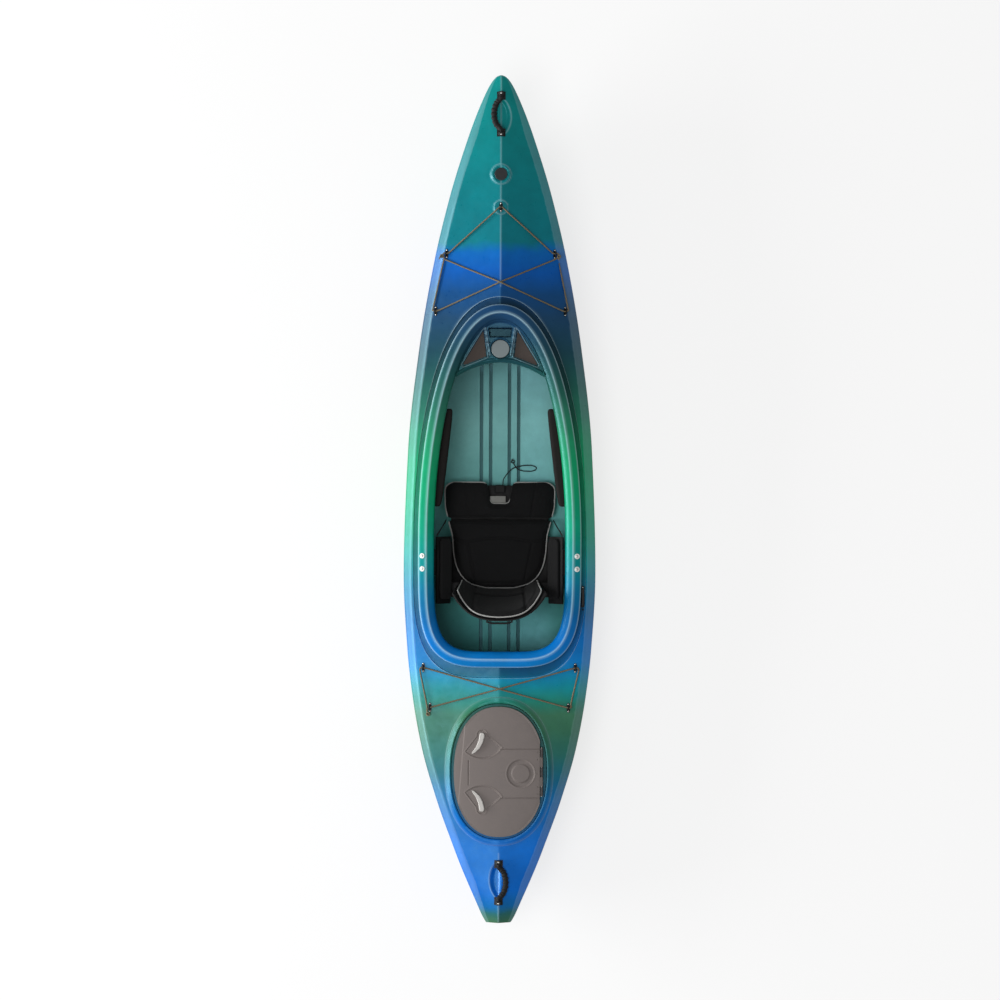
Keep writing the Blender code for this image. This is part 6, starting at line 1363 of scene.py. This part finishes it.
def back_face(u, h, out):
    """A point of the backrest: u across, h up, out towards the sitter; its plan is a bowl, two fifths of
    the square of u and three fifths of its fourth power, that deepens with height."""
    half, y, z, wrap = (low + (high - low) * h for low, high in zip(BACK_LOW, BACK_HIGH))
    facing = np.stack([-wrap * (0.8 * u + 2.4 * u**3) / half, np.ones_like(u), np.full_like(u, 0.30)],
                      axis=-1)
    facing /= np.linalg.norm(facing, axis=-1)[..., None]
    face = np.stack([half * u, y + wrap * (0.4 * u**2 + 0.6 * u**4), z - 0.022 * u * u * h], axis=-1)
    return face + facing * np.asarray(out)[..., None]


def corner_drop(u):
    """How much lower the backrest's edge lies towards its corners."""
    return BACK_CORNER_DROP * np.clip((np.abs(u) - 0.45) / 0.55, 0, 1) ** 2.4


u, h = np.meshgrid(eased(72) * BACK_EDGE, 0.5 + 0.5 * eased(48), indexing="ij")
full = np.sqrt(np.clip(1 - (u / BACK_EDGE) ** 6, 0, 1) * np.clip(1 - (2 * h - 1) ** 6, 0, 1))
h = 0.035 + 0.95 * h * (1 - corner_drop(u))
back_bag = Skin()
back_bag.grid(back_face(u, h, BACK_SEAM_OUT + (BACK_FULL_OUT - BACK_SEAM_OUT) * full))
back_bag.grid(back_face(u, h, BACK_SEAM_OUT + (BACK_CLEAR_OUT - BACK_SEAM_OUT)
                        * np.minimum(1, 2.2 * full)), flip=True)
back_cloth = woven("back_cloth", (17, 17, 18), axes=("X", "Z"))
backrest_pad = back_bag.object("backrest_pad", back_cloth, sharp=180, turn_out=True)
puffed(backrest_pad, 0.003, 0.0045)


def back_seams(x, y, z):
    share = (z - 0.105) / 0.247
    upright = np.abs(x) / (0.150 + 0.020 * share) - 0.6
    level = 0.005 * np.exp(-((share - 0.42) / 0.03) ** 2) * (upright < 0)
    return 0.007 * np.exp(-(upright / 0.045) ** 2) + level


stitched(backrest_pad, back_seams, BACK_FACING)
placed(backrest_pad, "seat_back", "seat_fabric", "seat_back_pad")

# Piping
# A pale grey cord sewn into each cover's edge seam.
PIPING_RADIUS = 0.0026
piping_cloth = braided("piping_cloth", (128, 128, 126), (176, 176, 174), 6, 0.004)


def rounded(course, turns):
    """Evens out a course by averaging neighbours over and over, its two ends held."""
    course = np.array(course, float)
    for _ in range(turns):
        course[1:-1] = (course[:-2] + 2 * course[1:-1] + course[2:]) / 4
    return course


def even_course(course, step=0.004):
    run = run_along(course)
    at = np.linspace(0, run[-1], int(run[-1] / step) + 1)
    return np.stack([np.interp(at, run, course[:, k]) for k in range(3)], axis=1)


def even_loop(outline, step):
    """A closed outline in a plane, evened out."""
    closed = np.c_[np.vstack([outline, outline[:1]]), np.zeros(len(outline) + 1)]
    return even_course(closed, step)


def edge_piping(name, body, plan, v, rear_count, z, turns, step=0.004):
    """Piping along one side of a cushion's plan, round the edge where v ends, and back along the other."""
    right = np.stack(plan(np.ones(len(v)), v), axis=1)
    rear = np.stack(plan(np.linspace(1, -1, rear_count), np.full(rear_count, v[-1])), axis=1)
    flat = np.vstack([right, rear[1:-1], (right * (-1, 1))[::-1]])
    course = np.c_[flat, np.full(len(flat), z + SEAM_RISE + 0.0012)]
    piping = tube(name, rounded(even_course(course, step), turns), PIPING_RADIUS, piping_cloth, 10)
    placed(piping, body, "seat_fabric")


edge_piping("seat_base_piping", "kayak", base_plan, np.linspace(0.97, 0.0, 60), 30, SEAT_BASE_Z, 4)
edge_piping("thigh_lift_piping", "leg_lifter", lift_plan, np.linspace(0.05, 1.0, 40), 400, LIFT_BASE_Z, 5,
            0.003)
over = np.linspace(BACK_EDGE, -BACK_EDGE, 90)
top = BACK_EDGE - 0.95 * corner_drop(over)
up = np.linspace(0.10, top[0], 40)
u = np.concatenate([np.full(40, BACK_EDGE), over[1:-1], np.full(40, -BACK_EDGE)])
course = back_face(u, np.concatenate([up, top[1:-1], up[::-1]]), np.full(len(u), 0.0100))
backrest_piping = tube("backrest_piping", rounded(even_course(course), 14), PIPING_RADIUS, piping_cloth, 10)
placed(backrest_piping, "seat_back", "seat_fabric")

# Seat pan and webbing
# A moulded nylon pan whose plate runs out to the side plates and back under the backrest, on two
# runners; the grey webbing over the lift's buckle, and the black straps from the side plates.
PAN_LOW, PAN_HIGH = 0.0520, 0.0559
pan = Skin()
outline = [(0.181, 0.046), (0.1945, 0.030), (0.1955, -0.020), (0.1850, -0.090), (0.1855, -0.150),
           (0.1855, -0.366), (0.176, -0.376)]
outline = np.array(outline + [(-x, y) for x, y in reversed(outline)])
outline = rounded(even_loop(outline, 0.006), 3)[:-1, :2]
shrunk = outline * (0.992, 0.995)
pan.loft([np.c_[loop, np.full(len(loop), z)] for loop, z in
          ((shrunk, PAN_LOW), (outline, PAN_LOW + 0.0008), (outline, PAN_HIGH - 0.0006), (shrunk, PAN_HIGH),
           (outline * 0.94, PAN_HIGH), (outline * 0.92, PAN_HIGH - 0.0012),
           (outline * 0.5, PAN_HIGH - 0.0012))])
for side in (1, -1):
    for x in (0.084, 0.100):
        section = ((-0.0015, 0.0195), (0.0015, 0.0195), (0.002, 0.0518), (-0.002, 0.0518))
        pan.loft([[(side * x + w, y, z) for w, z in section] for y in (-0.305, 0.026)])
seat_base_shell = pan.object("seat_base_shell", seat_nylon, turn_out=True)
placed(seat_base_shell, "kayak", "black_nylon", "seat_pan")


def ribbon(name, course, wide, thick, material):
    """A flat band: at each point of its course, its width along a set direction and its thickness square
    to that, with rounded edges."""
    course = smooth_route(course, 8)
    tangent = np.gradient(course, axis=0)
    wide = np.broadcast_to(wide, course.shape)
    normal = np.cross(wide, tangent)
    normal *= thick / 2 / np.linalg.norm(normal, axis=1)[:, None]
    corners = ((-1, 0), (-0.94, -1), (-0.5, -1), (0, -1), (0.5, -1), (0.94, -1), (1, 0), (0.94, 1), (0.5, 1),
               (0, 1), (-0.5, 1), (-0.94, 1))
    band = Skin()
    band.loft(np.stack([course + wide * a / 2 + normal * b for a, b in corners], axis=1))
    return band.object(name, material, sharp=60, turn_out=True)


black_webbing = woven("black_webbing", (22, 22, 23), 0.0013, ("Y", "Z"), 0.8, 0.25, 0.8)
grey_webbing = woven("grey_webbing", (134, 134, 130), 0.0014, ("X", "Y"), 0.85, 0.12, 0.8)
for side, word in ((-1, "port"), (1, "starboard")):
    strap = ribbon(f"back_strap_{word}", [(side * x, y, z) for x, y, z in
                                          ((0.2386, -0.1351, 0.2373), (0.2298, -0.121, 0.190),
                                           (0.2210, -0.1055, 0.141), (0.2130, -0.091, 0.094),
                                           (0.2063, -0.0785, 0.0575))],
                   (0.0, 0.0070, 0.0055), 0.0016, black_webbing)
    placed(strap, "kayak", "webbing", f"seat_strap_{word}")
lift_webbing = ribbon("lift_webbing", [(-0.008, y, z) for y, z in ((-0.0215, 0.0628), (-0.0150, 0.0665),
                                                                 (-0.0085, 0.0735), (0.004, 0.0749),
                                                                 (0.0150, 0.0742))],
                      (0.060, 0.0, 0.0), 0.0018, grey_webbing)
placed(lift_webbing, "leg_lifter", "webbing")

# Pull cord
# The thigh lift's adjuster: a limp 4 mm cord out of the buckle's front that lies in a loop on the
# hull's floor and ends in a knot.


def floor_height(x, y):
    """Height of the hull's inner face at a distance from its middle: the bottom's superellipse."""
    power, side = fullness(along(y)), sheer(y)
    low = KEEL_Z + keel_rise(along(y)) + WALL
    turn = np.arcsin((x / (half_beam(y) - WALL)) ** (power / 2))
    return float(side - (side - low) * np.cos(turn) ** (2 / power))


PULL_EXIT = (0.012, 0.0584, 0.0668)
FLOOR_NEAR = floor_height(0.12, 0.11) + 0.0044
# Across and along the hull, and height above the floor.
PULL_ON_FLOOR = ((0.022, 0.093, 0.028), (0.034, 0.108, 0.010), (0.050, 0.122, 0.001), (0.072, 0.130, 0),
                 (0.100, 0.134, 0.001), (0.126, 0.133, 0.0025), (0.140, 0.125, 0.004), (0.134, 0.115, 0.0035),
                 (0.112, 0.111, 0.002), (0.088, 0.113, 0.0008), (0.070, 0.119, 0.0042),
                 (0.058, 0.131, 0.0048), (0.050, 0.146, 0.0005))
PULL_ROUTE = (PULL_EXIT, (0.012, 0.068, 0.0668), (0.014, 0.080, 0.0608),
              *((x, y, FLOOR_NEAR + up) for x, y, up in PULL_ON_FLOOR))
pull_path = smooth_route(PULL_ROUTE, 4)
pull_sleeve = braided("pull_cord_sleeve", (20, 20, 20), (40, 40, 40), 6, 0.006)
pull_cord = tube("pull_cord", pull_path, 0.0020, pull_sleeve, 10)
placed(pull_cord, "kayak", "webbing", "seat_pull_cord")
knot_course = knot_route(pull_path[-1] + (0, 0.002, 0), (0.004, 0.012, -0.001), 0.002)
pull_knot = tube("pull_cord_knot", smooth_route(knot_course, 2), 0.0019, pull_sleeve, 10)
placed(pull_knot, "kayak", "webbing")

# Foam pads
# Closed-cell foam with a fabric face: the thigh pads hang under the rim beside the thighs, and the
# hip pads are glued to the sloping faces of the side plates.
THIGH_PAD_FRONT, THIGH_PAD_BACK, THIGH_PAD_DEPTH = 0.345, -0.025, 0.034
THIGH_PAD_LOW, THIGH_PAD_HIGH, HIP_PAD_THICK, SLAB_SIDES = 0.088, 0.0504, 0.016, 48
HIP_KNEE, HIP_HEAD, HIP_PAD_FRONT, HIP_PAD_BACK = (0.188, 0.172), (0.2386, 0.2426), -0.148, -0.377
pad_foam = dark_grain("pad_foam", (24, 21, 20), 0.9, 420.0, 0.7, 0.0006, 0.22)
pad_cloth = woven("pad_cloth", (16, 16, 17), axes=("Y", "Z"))


def slab(name, side, spine, outline, material):
    """A lofted pad: at each place of the spine, an outline in x and z on one side, its corners worn
    round by averaging neighbours; the ends are drawn in by the root of one less the square."""
    loops = []
    for y, end_share in spine:
        dense = even_loop(np.array(outline(y), float) * (side, 1), 0.0035)[:-1, :2]
        for _ in range(3):
            dense = (np.roll(dense, 1, axis=0) + 2 * dense + np.roll(dense, -1, axis=0)) / 4
        at = np.linspace(0, len(dense), SLAB_SIDES, endpoint=False)
        wrapped = np.vstack([dense, dense[:1]])
        dense = np.stack([np.interp(at, np.arange(len(wrapped)), wrapped[:, k]) for k in (0, 1)], axis=1)
        middle = dense.mean(axis=0)
        dense = middle + (dense - middle) * (0.55 + 0.45 * math.sqrt(max(0.0, 1 - end_share**2)))
        loops.append(np.stack([dense[:, 0], np.full(SLAB_SIDES, y), dense[:, 1]], axis=1))
    made = Skin()
    made.loft(loops)
    return made.object(name, material, sharp=180, turn_out=True)


def end_spine(back, front, count, round_over):
    """Places from back to front and, near each end, how far into its rounding each lies."""
    y = (back + front) / 2 + (front - back) / 2 * eased(count)
    near = np.clip(1 - np.minimum(y - back, front - y) / round_over, 0, 1)
    return list(zip(y, near))


def thigh_outline(y):
    """The pad's section under the rim, as distances from the middle and heights."""
    edge, top = rim_inside(y), float(rim_height(y))
    share = (y - THIGH_PAD_BACK) / (THIGH_PAD_FRONT - THIGH_PAD_BACK)
    depth = THIGH_PAD_DEPTH * (0.55 + 0.45 * max(0.0, math.sin(math.pi * share)) ** 0.5)
    section = ((0.004, THIGH_PAD_HIGH), (-depth * 0.8, THIGH_PAD_HIGH), (-depth, THIGH_PAD_HIGH + 0.012),
               (-depth * 0.9, THIGH_PAD_LOW), (0.004, THIGH_PAD_LOW))
    return [(edge + out, top - drop) for out, drop in section]


def hip_outline(y):
    """The pad's section on the side plate's sloping face."""
    knee, head = np.array(HIP_KNEE), np.array(HIP_HEAD)
    up = (head - knee) / np.linalg.norm(head - knee)
    face = np.array([-up[1], up[0]])
    start, end = knee + up * 0.004 + face * 0.0008, head - up * 0.014 + face * 0.0008
    section = (start, end, end + face * HIP_PAD_THICK * 0.75 - up * 0.002,
               (start + end) / 2 + face * HIP_PAD_THICK * 1.1,
               start + face * HIP_PAD_THICK * 0.75 + up * 0.002)
    return section


for side, word in ((-1, "port"), (1, "starboard")):
    thigh_spine = end_spine(THIGH_PAD_BACK, THIGH_PAD_FRONT, 40, 0.012)
    thigh_pad = slab(f"thigh_foam_{word}", side, thigh_spine, thigh_outline, pad_foam)
    placed(thigh_pad, "kayak", "foam", f"thigh_pad_{word}")
    hip_spine = end_spine(HIP_PAD_BACK, HIP_PAD_FRONT, 32, 0.022)
    hip_pad = slab(f"hip_cushion_{word}", side, hip_spine, hip_outline, pad_cloth)
    placed(hip_pad, "kayak", "foam", f"hip_pad_{word}")

# Skeg line
# A 5 mm braided line from the skeg's box under the deck to the cleat on the starboard side.
dress(dark_grain("line_sleeve", (30, 30, 31), 0.8, 1200.0, 0.8, 0.0004, 0.3), "skeg_line")
